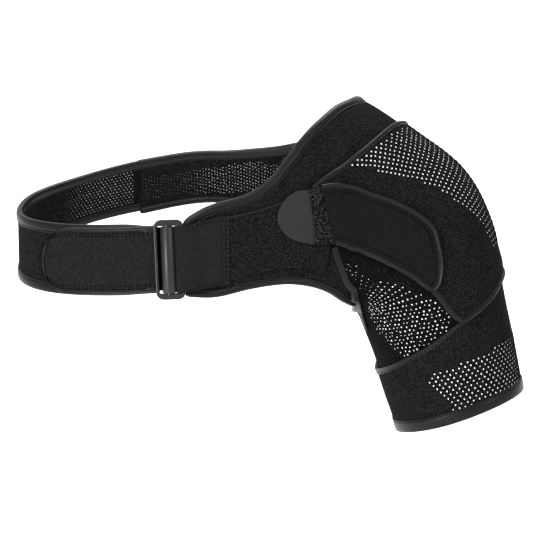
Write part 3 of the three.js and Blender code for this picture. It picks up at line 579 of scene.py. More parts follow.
def slab(name, outer, inner, ringed=False):
    """Closed wall between two grids of points."""
    rows, columns = outer.shape[:2]
    count = rows * columns
    faces = [grid_faces(rows, columns, 0, ringed), grid_faces(rows, columns, count, ringed)[:, ::-1]]
    i = np.arange(rows if ringed else rows - 1)
    ahead = (i + 1) % rows
    for k in (0, columns - 1):
        rim = stack(i * columns + k, ahead * columns + k, count + ahead * columns + k, count + i * columns + k)
        faces.append(rim.astype(int))
    if not ringed:
        k = np.arange(columns - 1)
        for i in (0, (rows - 1) * columns):
            rim = stack(i + k, i + k + 1, count + i + k + 1, count + i + k)
            faces.append(rim.astype(int))
    run = lengths(outer[:, columns // 2])
    across = lengths(np.swapaxes(outer, 0, 1)).T
    across = across - across[:, columns // 2][:, None]
    uv = stack(run[:, None] + 0 * across, across).reshape(-1, 2)
    points = np.concatenate([outer.reshape(-1, 3), inner.reshape(-1, 3)])
    return mesh_from(name, points, np.concatenate(faces), np.concatenate([uv, uv]))


# Rows of points near a panel's edge, and how its face wears
RIM = np.array([0, 0.15, 0.4, 0.8, 1.3, 2.0, 2.8, 3.7])
ROUNDED_EDGE = 1.0
UNEVENNESS = 0.35
OUTER_SWELL = 0.6
INNER_SWELL = 0.3


def shares_of(width, count):
    """Shares of the way across widths, with rows close together near both edges."""
    width = np.asarray(width, float)[..., None]
    edge = np.minimum(RIM / width, 0.4)
    middle = lerp(edge[..., -1:], 1 - edge[..., -1:], np.linspace(0, 1, count)[1:-1])
    return np.concatenate([edge, middle, 1 - edge[..., ::-1]], axis=-1)


def panel_places(edge_a, edge_b, along, across):
    """Places of a panel between two outlines, closer together near its edges."""
    a, b = along_outline(edge_a, along), along_outline(edge_b, along)
    fan = a[:, None] + (b - a)[:, None] * np.linspace(0, 1, 9)[:, None]
    width = lengths(np.swapaxes(BODY.point(fan), 0, 1))[-1]
    share = shares_of(width, across)
    return a[:, None] + (b - a)[:, None] * share[..., None]


def rounded(points, sides):
    """Share of the wall at each point of a grid, which falls off in a curve near the edges."""
    reach = [np.full(points.shape[:2], 99.0)]
    across = lengths(np.swapaxes(points, 0, 1)).T
    along = lengths(points)
    if "a" in sides:
        reach.append(across)
    if "b" in sides:
        reach.append(across[:, -1:] - across)
    if "s" in sides:
        reach.append(along)
    if "e" in sides:
        reach.append(along[-1:] - along)
    near = np.clip(np.minimum.reduce(reach) / ROUNDED_EDGE, 0, 1)
    return 0.35 + 0.65 * np.sqrt(1 - (1 - near) ** 2)


def give(points):
    """Slight unevenness of worn cloth."""
    x, y, z = (points[..., k] / 10 for k in range(3))
    wave = np.sin(0.9 * x + 1.3 * z) * np.cos(0.8 * y - 0.7 * x)
    fine = np.sin(2.3 * x - 1.9 * y + 1.1 * z) * np.sin(1.7 * z + 2.1 * y)
    return UNEVENNESS * (wave + 0.45 * fine)


def cloth(name, on, places, base, wall, finishes, nodes, slot, ringed=False, sides=""):
    """Panel of cloth over places, with rounded free edges and a slightly uneven face."""
    points = on.point(places)
    low = base(places)
    share = rounded(points, sides) if sides else 1.0
    swell = give(points)
    outer = lay(on, places, low + wall * share + swell * OUTER_SWELL)
    inner = lay(on, places, low + swell * INNER_SWELL)
    return finish_piece(name, slab(name, outer, inner, ringed), finishes, nodes, slot)


def resample(on, path, step):
    """Places along a path at even steps of length."""
    run = lengths(on.point(path))
    marks = np.linspace(0, run[-1], max(int(run[-1] / step), 2))
    return stack(np.interp(marks, run, path[:, 0]), np.interp(marks, run, path[:, 1]))


def closed(path):
    """Path round the arm with its first place again at the end, a whole turn on."""
    turn = 360 * np.sign(path[-1, 0] - path[0, 0])
    return np.concatenate([path, path[:1] + [turn, 0]])


def path_frame(on, path, ringed=False):
    """Points of a path with their normal and the direction into the panel on its left."""
    points = on.point(path)
    if ringed:
        ahead, behind = np.roll(points, -1, 0), np.roll(points, 1, 0)
    else:
        ahead = np.concatenate([points[1:], points[-1:]])
        behind = np.concatenate([points[:1], points[:-1]])
    normal = on.normal(path)
    return points, normal, unit(np.cross(normal, unit(ahead - behind)))


def tape_profile(width, wall, gap, folded, plump):
    """Section of an edge tape: distance in from the edge and height over the panel's inner face."""
    top = wall + gap
    mid = width - 2.2
    face = [
        (width, wall + 0.02), (width - 0.05, top + 0.12), (width - 0.4, top + 0.34), (width - 0.9, top + 0.28),
        (width - 1.3, top + 0.04), (width - 1.7, top + 0.26 + 0.2 * plump), (mid, top + 0.4 + 0.5 * plump),
        (mid * 0.7, top + 0.48 + 0.9 * plump), (mid * 0.42, top + 0.48 + plump), (mid * 0.16, top + 0.38 + 0.8 * plump),
    ]
    if folded:
        half = wall / 2 + gap + 0.3 + 0.7 * plump
        edge = gap + 0.55 + 0.4 * plump
        turn = np.radians(np.linspace(70, -70, 11))
        face += [(0.3 - edge * math.cos(t), wall / 2 + half * math.sin(t)) for t in turn]
        face += [(w, wall - h) for w, h in face[:10][::-1]]
        hollow = [(width, -0.05), (0.6, -0.08), (-gap * 0.5, wall * 0.3), (-gap * 0.5, wall * 0.7), (0.6, wall + 0.06)]
    else:
        edge = gap + 0.5 + 0.3 * plump
        turn = np.radians(np.linspace(75, 0, 6))
        face += [(0.3 - edge * math.cos(t), (top - 0.2) * math.sin(t) + 0.45) for t in turn]
        face += [(0.3 - edge, 0.2), (0.4 - edge, 0.02)]
        hollow = [(-gap * 0.4, 0.02), (-gap * 0.4, wall * 0.8), (0.6, wall + 0.05)]
    return np.array(face + hollow)


def soften(path, reach):
    """Path with its corners rounded, its ends kept."""
    count = len(path)
    near = np.arange(count)[:, None] + np.arange(-reach, reach + 1)
    near = np.clip(near, 0, count - 1)
    weight = np.exp(-0.5 * (np.arange(-reach, reach + 1) / (reach / 2)) ** 2)
    weight = weight / weight.sum()
    return (path[near] * weight[:, None]).sum(axis=1)


def edge_tape(name, on, path, width, base, wall, node, folded=True, ringed=False, plump=0.25, round_=0, step=1.8):
    """Tape round an edge, with the panel to the left of the path seen from outside."""
    if ringed:
        path = closed(path)
    path = resample(on, path, step)
    if ringed:
        path = path[:-1]
    if round_:
        path = soften(path, round_)
    points, normal, into = path_frame(on, path, ringed)
    section = tape_profile(width, wall, TAPE_GAP, folded, plump)
    count = len(section)
    outside = section[:, 0] < 0
    distance = np.maximum(section[:, 0], 0)
    places = on.walk(
        np.repeat(path[:, None], count, 1),
        np.repeat(into[:, None], count, 1),
        np.broadcast_to(distance, (len(path), count)),
    )
    pucker = 0.07 * np.sin(lengths(points)[:, None] * 2 * np.pi / 3.4)
    height = base(places) + section[:, 1] + pucker * (section[:, 1] > wall)
    grid = lay(on, places, height)
    grid = grid + np.where(outside, section[:, 0], 0)[:, None] * into[:, None]
    rows = len(path)
    faces = [tuple(f) for f in grid_faces(rows, count, 0, ringed, True)]
    if not ringed:
        faces.append(tuple(range(count)))
        faces.append(tuple(range((rows - 1) * count, rows * count))[::-1])
    run = lengths(points)
    round_run = np.concatenate([[0], np.cumsum(np.linalg.norm(np.diff(section, axis=0), axis=1))])
    uv = stack(run[:, None] + 0 * round_run, round_run).reshape(-1, 2)
    mesh = mesh_from(name, grid.reshape(-1, 3), faces, uv)
    finish_piece(name, mesh, ["binding tape"], [node], "binding", sharp=60)


def stitches(name, rows, length, pitch, finish="stitching thread", slot="binding", thick=0.4):
    """Thread stitches along rows, each a surface, a path and a height."""
    points, faces, first = [], [], 0
    for on, path, height in rows:
        run = lengths(on.point(path))
        count = int(run[-1] / pitch)
        start = (np.arange(count) + 0.5) * run[-1] / count - length / 2
        marks = start[:, None] + np.linspace(0, length, 5)
        places = stack(np.interp(marks, run, path[:, 0]), np.interp(marks, run, path[:, 1]))
        lift = np.array([-0.3, 0.1, 0.18, 0.1, -0.3])
        middle = lay(on, places, height(places) + lift)
        normal = on.normal(places)
        tangent = unit(middle[:, -1] - middle[:, 0])[:, None]
        side = unit(np.cross(normal, tangent))
        turn = np.radians(np.arange(0, 360, 60))
        fat = np.array([0.5, 0.95, 1, 0.95, 0.5])[:, None, None]
        wide_part = side[:, :, None] * np.cos(turn)[:, None] * thick * fat
        ring = wide_part + normal[:, :, None] * np.sin(turn)[:, None] * thick * 0.8 * fat
        points.append((middle[:, :, None] + ring).reshape(-1, 3))
        block = grid_faces(5, 6, 0, False, True)
        faces.append((block[None] + (np.arange(count) * 30)[:, None, None] + first).reshape(-1, 4))
        first += count * 30
    mesh = mesh_from(name, np.concatenate(points), np.concatenate(faces))
    finish_piece(name, mesh, [finish], (), slot, sharp=180)


def inset(on, path, distance):
    """Path moved into the panel on its left."""
    _, _, into = path_frame(on, path)
    return on.walk(path, into, np.full(len(path), float(distance)))


def perforations(name, on, places, height, radius, floor, inward=False, stretch=1.0):
    """Small round discs on the cloth's face, which stand for holes: a pale floor in a dark rim of painted shade."""
    normal = on.normal(places)
    middle = on.point(places) + normal * np.asarray(height)[:, None]
    normal = -normal if inward else normal
    side = unit(np.cross(normal, np.array([-0.26, 0.0, 1.0])))
    up = np.cross(normal, side) * stretch
    turn = np.radians(np.arange(0, 360, 45))
    ring = side[:, None] * np.cos(turn)[:, None] + up[:, None] * np.sin(turn)[:, None]
    grid = np.stack([
        middle[:, None] + ring * (radius * reach)[:, None, None] + normal[:, None] * lift
        for reach, lift in ((0.0, 0.05), (0.9, 0.04), (1.08, 0.24), (2.0, -0.06))
    ], axis=1)
    block = grid_faces(4, 8, 0, False, True)
    faces = (block[None] + (np.arange(len(places)) * 32)[:, None, None]).reshape(-1, 4)
    # The outer faces, out to twice the radius, take the painted shade round each hole
    index = np.tile(np.repeat([0, 1], [8, 16]), len(places))
    mesh = mesh_from(name, grid.reshape(-1, 3), faces, None, index)
    finish_piece(name, mesh, [floor, "hole rim"], (), "perforated_cloth", sharp=180)


def hole_places(zone, ring, gap, seed, drift=0.0, at=None):
    """Staggered places in a zone: rings at even steps along the form at an angle, dots at even steps round it."""
    chance = np.random.default_rng(seed)
    stations, lows, highs = zip(*zone)
    line = (min(lows) + max(highs)) / 2 if at is None else at
    fine = np.linspace(stations[0], stations[-1], 400)
    run = lengths(skin(np.full(400, float(line)), fine))
    angles = np.linspace(min(lows) - 1, max(highs) + 1, 500)
    found = []
    for i, mark in enumerate(np.arange(ring / 2, run[-1], ring)):
        station = float(np.interp(mark, run, fine))
        round_run = lengths(skin(angles, np.full(500, station)))
        round_run = round_run - round_run[250]
        spots = (np.arange(-200, 200) + 0.5 * (i % 2)) * gap
        spots = spots + chance.normal(0, 1, 400) * drift
        spots = spots[(spots > round_run[0]) & (spots < round_run[-1])]
        turns = np.interp(spots, round_run, angles)
        turns = turns[(turns > np.interp(station, stations, lows)) & (turns < np.interp(station, stations, highs))]
        found += [(angle, station + chance.normal(0, 1) * drift * 0.007) for angle in turns]
    return np.array(found)


# Materials


def node_of(tree, kind, values=None):
    """Shader node with its settings, by the name or number of an input or by the name of a property."""
    node = tree.nodes.new("ShaderNode" + kind)
    for key, value in (values or {}).items():
        if isinstance(key, int) or key in node.inputs:
            node.inputs[key].default_value = value
        else:
            setattr(node, key, value)
    return node


def shader_group(name, inputs, outputs, nodes, links):
    """Node group made once: inputs with their defaults, outputs, nodes with their settings, and links."""
    if name in bpy.data.node_groups:
        return bpy.data.node_groups[name]
    group = bpy.data.node_groups.new(name, "ShaderNodeTree")
    for way, keys in (("INPUT", inputs), ("OUTPUT", outputs)):
        for key in keys:
            kind = "NodeSocketColor" if key.lower().endswith("colour") else "NodeSocketFloat"
            socket = group.interface.new_socket(name=key, in_out=way, socket_type=kind)
            if way == "INPUT":
                value = inputs[key]
                socket.default_value = (value, value, value, 1) if kind == "NodeSocketColor" else value
    made = {"in": group.nodes.new("NodeGroupInput"), "out": group.nodes.new("NodeGroupOutput")}
    for key, (kind, values) in nodes.items():
        made[key] = node_of(group, kind, values)
    for source, output, target, socket in links:
        group.links.new(made[source].outputs[output], made[target].inputs[socket])
    return group


MIX = ("Mix", {"data_type": "RGBA"})
# The Mix node's own numbers for its factor, its two colours and its result
MIX_SHARE, MIX_FIRST, MIX_SECOND, MIXED = 0, 6, 7, 2


def pile_group():
    """Looped pile: light loop tips over dark gaps."""
    return shader_group(
        "Looped pile",
        {"Loop size": 1.1, "Dark colour": 0.003, "Light colour": 0.03, "Patchiness": 0.4},
        ("Colour", "Height"),
        {
            "place": ("TexCoord", {}),
            "scale": ("Math", {"operation": "DIVIDE", 0: 1000.0}),
            "loops": ("TexVoronoi", {"feature": "SMOOTH_F1", "Smoothness": 0.6, "Randomness": 1.0}),
            "fuzz": ("TexNoise", {"Detail": 4.0, "Roughness": 0.75}),
            "patches": ("TexNoise", {"Scale": 90.0, "Detail": 2.0}),
            "rise": ("Math", {"operation": "SUBTRACT"}),
            "spread": ("MapRange", {"interpolation_type": "SMOOTHSTEP", "From Min": -0.12, "From Max": 0.5}),
            "share": ("Math", {"operation": "MULTIPLY_ADD", 2: 0.75}),
            "mask": ("Math", {"operation": "MULTIPLY", "use_clamp": True}),
            "mix": MIX,
        },
        (
            ("in", "Loop size", "scale", 1),
            ("place", "Object", "loops", "Vector"),
            ("scale", 0, "loops", "Scale"),
            ("place", "Object", "fuzz", "Vector"),
            ("scale", 0, "fuzz", "Scale"),
            ("place", "Object", "patches", "Vector"),
            ("fuzz", "Fac", "rise", 0),
            ("loops", "Distance", "rise", 1),
            ("rise", 0, "spread", "Value"),
            ("patches", "Fac", "share", 0),
            ("in", "Patchiness", "share", 1),
            ("spread", 0, "mask", 0),
            ("share", 0, "mask", 1),
            ("mask", 0, "mix", MIX_SHARE),
            ("in", "Dark colour", "mix", MIX_FIRST),
            ("in", "Light colour", "mix", MIX_SECOND),
            ("mix", MIXED, "out", "Colour"),
            ("spread", 0, "out", "Height"),
        ),
    )


def weave_group():
    """Twill or ribbed weave along the piece's UV, with uneven yarns."""
    return shader_group(
        "Woven ribs",
        {"Ribs per cm": 9.0, "Slant": 0.0, "Rib contrast": 0.4, "Dark colour": 0.01, "Light colour": 0.03},
        ("Colour", "Height"),
        {
            "place": ("UVMap", {"uv_map": "cloth"}),
            "parts": ("SeparateXYZ", {}),
            "slanted": ("Math", {"operation": "MULTIPLY_ADD"}),
            "turns": ("Math", {"operation": "MULTIPLY"}),
            "angle": ("Math", {"operation": "MULTIPLY", 1: 2 * math.pi}),
            "wave": ("Math", {"operation": "SINE"}),
            "coords": ("TexCoord", {}),
            "yarns": ("TexNoise", {"Scale": 480.0, "Detail": 3.0, "Roughness": 0.8}),
            "rib": ("Math", {"operation": "MULTIPLY"}),
            "sum": ("Math", {"operation": "ADD"}),
            "spread": ("MapRange", {"From Min": 0.25, "From Max": 0.75}),
            "mix": MIX,
        },
        (
            ("place", "UV", "parts", 0),
            ("parts", "Y", "slanted", 0),
            ("in", "Slant", "slanted", 1),
            ("parts", "X", "slanted", 2),
            ("slanted", 0, "turns", 0),
            ("in", "Ribs per cm", "turns", 1),
            ("turns", 0, "angle", 0),
            ("angle", 0, "wave", 0),
            ("coords", "Object", "yarns", "Vector"),
            ("wave", 0, "rib", 0),
            ("in", "Rib contrast", "rib", 1),
            ("rib", 0, "sum", 0),
            ("yarns", "Fac", "sum", 1),
            ("sum", 0, "spread", "Value"),
            ("spread", 0, "mix", MIX_SHARE),
            ("in", "Dark colour", "mix", MIX_FIRST),
            ("in", "Light colour", "mix", MIX_SECOND),
            ("mix", MIXED, "out", "Colour"),
            ("spread", 0, "out", "Height"),
        ),
    )


def lint_group():
    """Faint dust and rubbed places over a colour."""
    return shader_group(
        "Lint and rub",
        {"Colour": 0.02, "Lint colour": 0.06, "Amount": 0.15, "Roughness": 0.8},
        ("Colour", "Roughness"),
        {
            "place": ("TexCoord", {}),
            "broad": ("TexNoise", {"Scale": 45.0, "Detail": 5.0, "Roughness": 0.6}),
            "specks": ("TexNoise", {"Scale": 520.0, "Detail": 2.0}),
            "both": ("Math", {"operation": "MULTIPLY"}),
            "spread": ("MapRange", {"From Min": 0.2, "From Max": 0.45}),
            "share": ("Math", {"operation": "MULTIPLY", "use_clamp": True}),
            "mix": MIX,
            "rub": ("Math", {"operation": "MULTIPLY_ADD", "use_clamp": True, 1: -0.16}),
        },
        (
            ("place", "Object", "broad", "Vector"),
            ("place", "Object", "specks", "Vector"),
            ("broad", "Fac", "both", 0),
            ("specks", "Fac", "both", 1),
            ("both", 0, "spread", "Value"),
            ("spread", 0, "share", 0),
            ("in", "Amount", "share", 1),
            ("share", 0, "mix", MIX_SHARE),
            ("in", "Colour", "mix", MIX_FIRST),
            ("in", "Lint colour", "mix", MIX_SECOND),
            ("mix", MIXED, "out", "Colour"),
            ("broad", "Fac", "rub", 0),
            ("in", "Roughness", "rub", 2),
            ("rub", 0, "out", "Roughness"),
        ),
    )


def new_material(name):
    """Empty material with its shader and output."""
    material = bpy.data.materials.new(name)
    material.use_nodes = True
    tree = material.node_tree
    tree.nodes.clear()
    output = tree.nodes.new("ShaderNodeOutputMaterial")
    shader = tree.nodes.new("ShaderNodeBsdfPrincipled")
    tree.links.new(shader.outputs[0], output.inputs["Surface"])
    return material, tree, shader


def bump(tree, shader, height, strength, distance):
    """Bump of a height on a shader, its distance in millimetres."""
    node = node_of(tree, "Bump", {"Strength": strength, "Distance": distance * MM})
    tree.links.new(height, node.inputs["Height"])
    tree.links.new(node.outputs[0], shader.inputs["Normal"])


def colour4(colour):
    return (colour[0], colour[1], colour[2], 1.0)


def looks():
    return bpy.context.scene.brace_looks


FINISHES = {
    # colour, kind, dark and light shares of it, the kind's settings, roughness, sheen, gloss, relief, lint
    "looped fleece": ("fleece", "pile", 0.3, 2.0, {"Loop size": 1.25, "Patchiness": 0.5}, 0.95, 0.003, 0.02, 0.9, 0.08),
    "perforated cloth": ("fleece", "pile", 0.1, 1.3, {"Loop size": 1.0}, 0.95, 0.002, 0.02, 0.6, 0.05),
    # Painted shade round each hole: a much darker copy of the fleece
    "hole rim": ("fleece", "pile", 0.05, 0.2, {"Loop size": 0.8}, 0.95, 0.0, 0.0, 0.2, 0.0),
    "hole floor": ("holes", "pile", 0.8, 1.15, {"Loop size": 0.5}, 0.9, 0.0, 0.1, 0.1, 0.0),
    # Painted shade: a darker copy of the hole floor, for holes seen on inner faces
    "inner hole floor": ("holes", "pile", 0.4, 0.7, {"Loop size": 0.5}, 0.9, 0.0, 0.1, 0.1, 0.0),
    "binding tape": ("tape", "weave", 0.8, 1.3, {"Ribs per cm": 11.0, "Rib contrast": 0.1}, 0.42, 0.0, 0.12, 0.15,
                     0.03),
    "patch cloth": ("patch", "pile", 0.6, 1.9, {"Loop size": 0.8, "Patchiness": 0.3}, 0.8, 0.002, 0.02, 0.12, 0.08),
    # The tab's cloth, which also paints the highlight lines along the overlay's and the webbing's edges
    "tab cloth": ("tab", "pile", 0.93, 1.1, {"Loop size": 0.35}, 0.6, 0.0, 0.1, 0.05, 0.03),
    "hook cloth": ("strap_end", "weave", 0.2, 3.0, {"Ribs per cm": 6.5, "Slant": -1.0, "Rib contrast": 0.14}, 0.85,
                   0.002, 0.02, 0.4, 0.1),
    "plush loops": ("plush", "pile", 0.15, 2.8, {"Loop size": 1.5, "Patchiness": 0.6}, 0.95, 0.004, 0.03, 1.0, 0.06),
    "twill webbing": ("strap_end", "weave", 0.2, 3.0, {"Ribs per cm": 6.5, "Slant": -1.1, "Rib contrast": 0.3}, 0.8,
                      0.003, 0.04, 0.6, 0.08),
    "stitching thread": ("thread", "pile", 0.6, 1.3, {"Loop size": 0.5}, 0.8, 0.0, 0.02, 0.2, 0.0),
}


def cloth_finish(name):
    """Cloth with a looped or woven face, lint and a soft sheen."""
    if name in bpy.data.materials:
        return bpy.data.materials[name]
    tone, kind, dark, light, settings, roughness, sheen, gloss, relief, lint = FINISHES[name]
    tone = np.array(getattr(looks(), tone))
    material, tree, shader = new_material(name)
    face = tree.nodes.new("ShaderNodeGroup")
    face.node_tree = pile_group() if kind == "pile" else weave_group()
    face.inputs["Dark colour"].default_value = colour4(tone * dark)
    face.inputs["Light colour"].default_value = colour4(np.minimum(tone * light, 0.9))
    for key, value in settings.items():
        face.inputs[key].default_value = value
    dust = tree.nodes.new("ShaderNodeGroup")
    dust.node_tree = lint_group()
    dust.inputs["Lint colour"].default_value = colour4(np.minimum(tone * 3, 0.9))
    dust.inputs["Amount"].default_value = lint
    dust.inputs["Roughness"].default_value = roughness
    tree.links.new(face.outputs["Colour"], dust.inputs["Colour"])
    tree.links.new(dust.outputs["Colour"], shader.inputs["Base Color"])
    tree.links.new(dust.outputs["Roughness"], shader.inputs["Roughness"])
    shader.inputs["Sheen Weight"].default_value = sheen
    shader.inputs["Sheen Roughness"].default_value = 0.5
    shader.inputs["Specular IOR Level"].default_value = gloss
    bump(tree, shader, face.outputs["Height"], relief, 0.5)
    return material


def plastic():
    """Moulded plastic: faint flow marks and scuffs."""
    if "buckle plastic" in bpy.data.materials:
        return bpy.data.materials["buckle plastic"]
    material, tree, shader = new_material("buckle plastic")
    dust = tree.nodes.new("ShaderNodeGroup")
    dust.node_tree = lint_group()
    dust.inputs["Colour"].default_value = colour4(looks().plastic)
    dust.inputs["Lint colour"].default_value = colour4([c * 2.2 for c in looks().plastic])
    dust.inputs["Amount"].default_value = 0.1
    dust.inputs["Roughness"].default_value = 0.44
    tree.links.new(dust.outputs["Colour"], shader.inputs["Base Color"])
    tree.links.new(dust.outputs["Roughness"], shader.inputs["Roughness"])
    grain = node_of(tree, "TexNoise", {"Scale": 1500.0, "Detail": 2.0})
    place = node_of(tree, "TexCoord")
    tree.links.new(place.outputs["Object"], grain.inputs["Vector"])
    bump(tree, shader, grain.outputs["Fac"], 0.08, 0.1)
    shader.inputs["Specular IOR Level"].default_value = 0.3
    return material


# Pieces


def wide(count, first=0):
    """Even shares up to 1."""
    return np.linspace(first, 1, count)


def arm_side(first, last):
    """Part of the yoke's edge on the arm's side, between two rows of its outline."""
    return along_outline(ARM_SIDE_EDGE, np.linspace(first, last, (last - first) * ROW_STEPS + 1) / YOKE_ROWS)


def armpit():
    return along_outline(ARMPIT_EDGE, wide(97))


def neck_path():
    """Path of the neck's tape, which turns down round the yoke's front corner."""
    edge = along_outline(NECK_EDGE, wide(YOKE_STEPS + 1))[::-1]
    angle, station = NECK_EDGE[0]
    corner = soften(np.concatenate([edge[-40:], stack(np.linspace(angle + 0.2, angle + 3.8, 9), station + 0.006)]), 5)
    return np.concatenate([edge[:-40], corner])


def underarm_path():
    back = arm_side(BACK_CORNER_ROW, YOKE_ROWS) + np.array([360.0, 0])
    return np.concatenate([arm_side(0, FRONT_CORNER_ROW), armpit()[1:-1], back])


def sleeve_top():
    """The sleeve's top edge: along the yoke over the shoulder, then back under the arm."""
    seam = arm_side(FRONT_CORNER_ROW, BACK_CORNER_ROW)
    _, _, into = path_frame(BODY, seam)
    seam = BODY.walk(seam, into, np.full(len(seam), float(SEAM_GAP)))
    under = (armpit() - np.array([360.0, 0]))[::-1]
    return np.concatenate([seam, under[1:-1]])


def hem_station(angle):
    return read_pairs(HEM_LINE, (np.asarray(angle) + 180) % 360 - 180)


def cuff_places():
    angle = 180 - 360 * np.arange(180) / 180
    low, high = hem_station(angle), read_pairs(CUFF_LINE, angle)
    share = wide(16)
    return stack(angle[:, None] + 0 * share, low[:, None] + (high - low)[:, None] * share)


def round_path(edge_a, edge_b):
    """Path along a panel's lower edge, round its far end and back along its top."""
    a, b = along_outline(edge_a, wide(161)), along_outline(edge_b, wide(161))
    far = b[-1] + (a[-1] - b[-1]) * wide(24)[1:-1, None]
    return np.concatenate([b, far, a[::-1]])


def seam_places():
    """Tape over the armhole's seam."""
    path = along_outline(ARMHOLE_SEAM, wide(120))
    _, _, into = path_frame(BODY, path)
    offsets = (wide(11) - 0.5) * 5.5
    spread = np.repeat(path[:, None], 11, 1)
    return BODY.walk(spread, np.repeat(into[:, None], 11, 1), np.broadcast_to(offsets, (120, 11)))


def strap_half(distance):
    taper = smooth((distance - NEAR) / (STRAP_START - NEAR))
    width = STRAP.section(stack(np.maximum(distance, 0), 0))[3]
    return lerp(OPENING_HEIGHT / 2 - TAPE_GAP, width / 2, taper)


def fold_mesh(name, path, wall, half_width, shift, spot, across):
    """Strip folded along a path of distance, height and wall share."""
    path = np.array([p if len(p) == 3 else (*p, 1) for p in path], float)
    run = np.concatenate([path[1:], path[-1:]])[:, :2] - np.concatenate([path[:1], path[:-1]])[:, :2]
    run = unit(run)
    width = np.maximum(half_width(path[:, 0]) * 2, 0.6)
    side = shares_of(width, across) * 2 - 1
    rows = []
    reach = (1 - np.abs(side)) * width[:, None] / 2
    edge = 0.35 + 0.65 * np.sqrt(1 - (1 - np.clip(reach / 0.9, 0, 1)) ** 2)
    for face in (0.5, -0.5):
        lift = face * wall * path[:, 2][:, None] * edge
        distance = path[:, 0][:, None] - run[:, 1][:, None] * lift
        height = path[:, 1][:, None] + run[:, 0][:, None] * lift
        up = shift(path[:, 0])[:, None] + side * width[:, None] / 2
        rows.append(spot(distance, up, height))
    return slab(name, rows[0], rows[1])


def round_bar(wall, reach):
    """Half turn round a bar of the buckle, from under it to over it and a reach beyond it."""
    gap = BUCKLE_WALL / 2 + TAPE_GAP + wall / 2
    turn = np.radians(np.linspace(-90, 90, 15))
    rows = [(gap - reach - gap * math.cos(t), BUCKLE_LIFT + gap * math.sin(t)) for t in turn]
    return [(0.5, BUCKLE_LIFT - gap), *rows, (0.5, BUCKLE_LIFT + gap)]


def strap_rise(distance):
    """Height of the strap's middle and share of its folded wall, by the distance from the buckle."""
    low = BUCKLE_LIFT - BUCKLE_WALL / 2 - 3.4
    share = np.clip((STRAP_START - np.asarray(distance, float)) / (0.8 * STRAP_START), 0, 1)
    return lerp(WALL / 2, low, smooth(share)), lerp(WALL / FOLD_WALL, 1, share)


def strap_path():
    distance = np.concatenate([np.linspace(STRAP_LENGTH - 0.2, STRAP_START, 200), np.linspace(26, 0.5, 16)])
    middle, thick = strap_rise(distance)
    low, half = middle[-1], (END_NEAR - middle[-1]) / 2
    turn = [(-half * math.cos(t), low + half + half * math.sin(t)) for t in np.radians(np.linspace(-80, 80, 9))]
    return [*zip(distance, middle, thick), *turn, (0.5, END_NEAR)]


class Laid:
    """Surface of a piece on the strap or the loop, with its slopes measured over a step."""

    step = 1
    side = -1

    def normal(self, places):
        along = self.point(places + [self.step, 0]) - self.point(places - [self.step, 0])
        across = self.point(places + [0, self.step]) - self.point(places - [0, self.step])
        return self.side * unit(np.cross(along, across))

    def walk(self, places, direction, distance):
        return STRAP.walk(places, direction, distance)


class StrapFace(Laid):
    """The strap's inner face, risen towards the buckle."""

    def point(self, places):
        middle, thick = strap_rise(places[..., 0])
        return strap_spot(places[..., 0], places[..., 1], middle - thick * FOLD_WALL / 2)


STRAP_FACE = StrapFace()
END_BASE = WALL + TAPE_GAP + TAPE_WALL + TAPE_GAP
END_NEAR = BUCKLE_LIFT - BUCKLE_WALL / 2 - 1.25


def end_height(distance):
    return lerp(END_NEAR, END_BASE + STRAP_END_WALL / 2, smooth((distance - NEAR) / END_EASE))


def end_half(distance):
    near = np.clip(1 - (STRAP_END_LENGTH - distance) / STRAP_END_ROUND, 0, 1)
    round_ = (1 - near**STRAP_END_POWER) ** (1 / STRAP_END_POWER)
    taper = smooth((distance - NEAR) / (STRAP_START - NEAR))
    return lerp(OPENING_HEIGHT / 2 - TAPE_GAP, STRAP_END_WIDTH / 2, taper) * np.maximum(round_, 0.05)


def end_shift(distance):
    taper = smooth((np.asarray(distance) - NEAR) / (STRAP_START - NEAR))
    return -0.6 * taper


def end_rows():
    """Distances along the hook end, closer together round its end."""
    straight = STRAP_END_LENGTH - STRAP_END_ROUND
    turn = np.sin(np.radians(np.linspace(0, 90, 24)[1:]))
    return np.concatenate([np.linspace(0.6, straight, 70), straight + STRAP_END_ROUND * turn])


def end_outline():
    """The hook end's edge: along its top, round its end and back below."""
    rows = end_rows()
    upper = stack(rows, end_shift(rows) + end_half(rows))
    lower = stack(rows, end_shift(rows) - end_half(rows))[::-1]
    return np.concatenate([upper, lower])


class StrapEnd(Laid):
    """The hook end's inner face."""

    def point(self, places):
        distance = places[..., 0]
        return strap_spot(distance, places[..., 1], end_height(distance) - STRAP_END_WALL / 2)


END = StrapEnd()


class Loop(Laid):
    """The webbing loop's upper face: a place is the distance from the bar and the height up the chest."""

    step = 0.5
    side = 1

    def point(self, places):
        distance = places[..., 0]
        return loop_spot(distance, places[..., 1] + loop_shift(distance), loop_top(distance))


LOOP = Loop()
LOOP_TOP = OVERLAY_BASE + OVERLAY_WALL + TAPE_GAP + WEBBING / 2


def loop_top(distance):
    high = BUCKLE_LIFT + BUCKLE_WALL / 2 + TAPE_GAP + WEBBING / 2
    return lerp(high, LOOP_TOP, smooth(np.asarray(distance) / (LOOP_LENGTH * 0.6)))


def loop_half(distance):
    return lerp(OPENING_HEIGHT / 2 - TAPE_GAP, LOOP_WIDTH / 2, smooth(np.asarray(distance) / LOOP_LENGTH))


def loop_shift(distance):
    return LOOP_RISE * smooth(np.asarray(distance) / LOOP_LENGTH)


def loop_path():
    low = BUCKLE_LIFT - BUCKLE_WALL / 2 - TAPE_GAP - WEBBING / 2
    under = WALL + UNDERARM_GAP + TAPE_WALL + TAPE_GAP + WEBBING / 2
    rows = [(d, loop_top(d)) for d in np.linspace(LOOP_LENGTH, 1.0, 50)]
    return rows + round_bar(WEBBING, 6.0)[::-1][1:] + [(3, low), (6, low), (9, lerp(low, under, 0.5)), (12, under)]


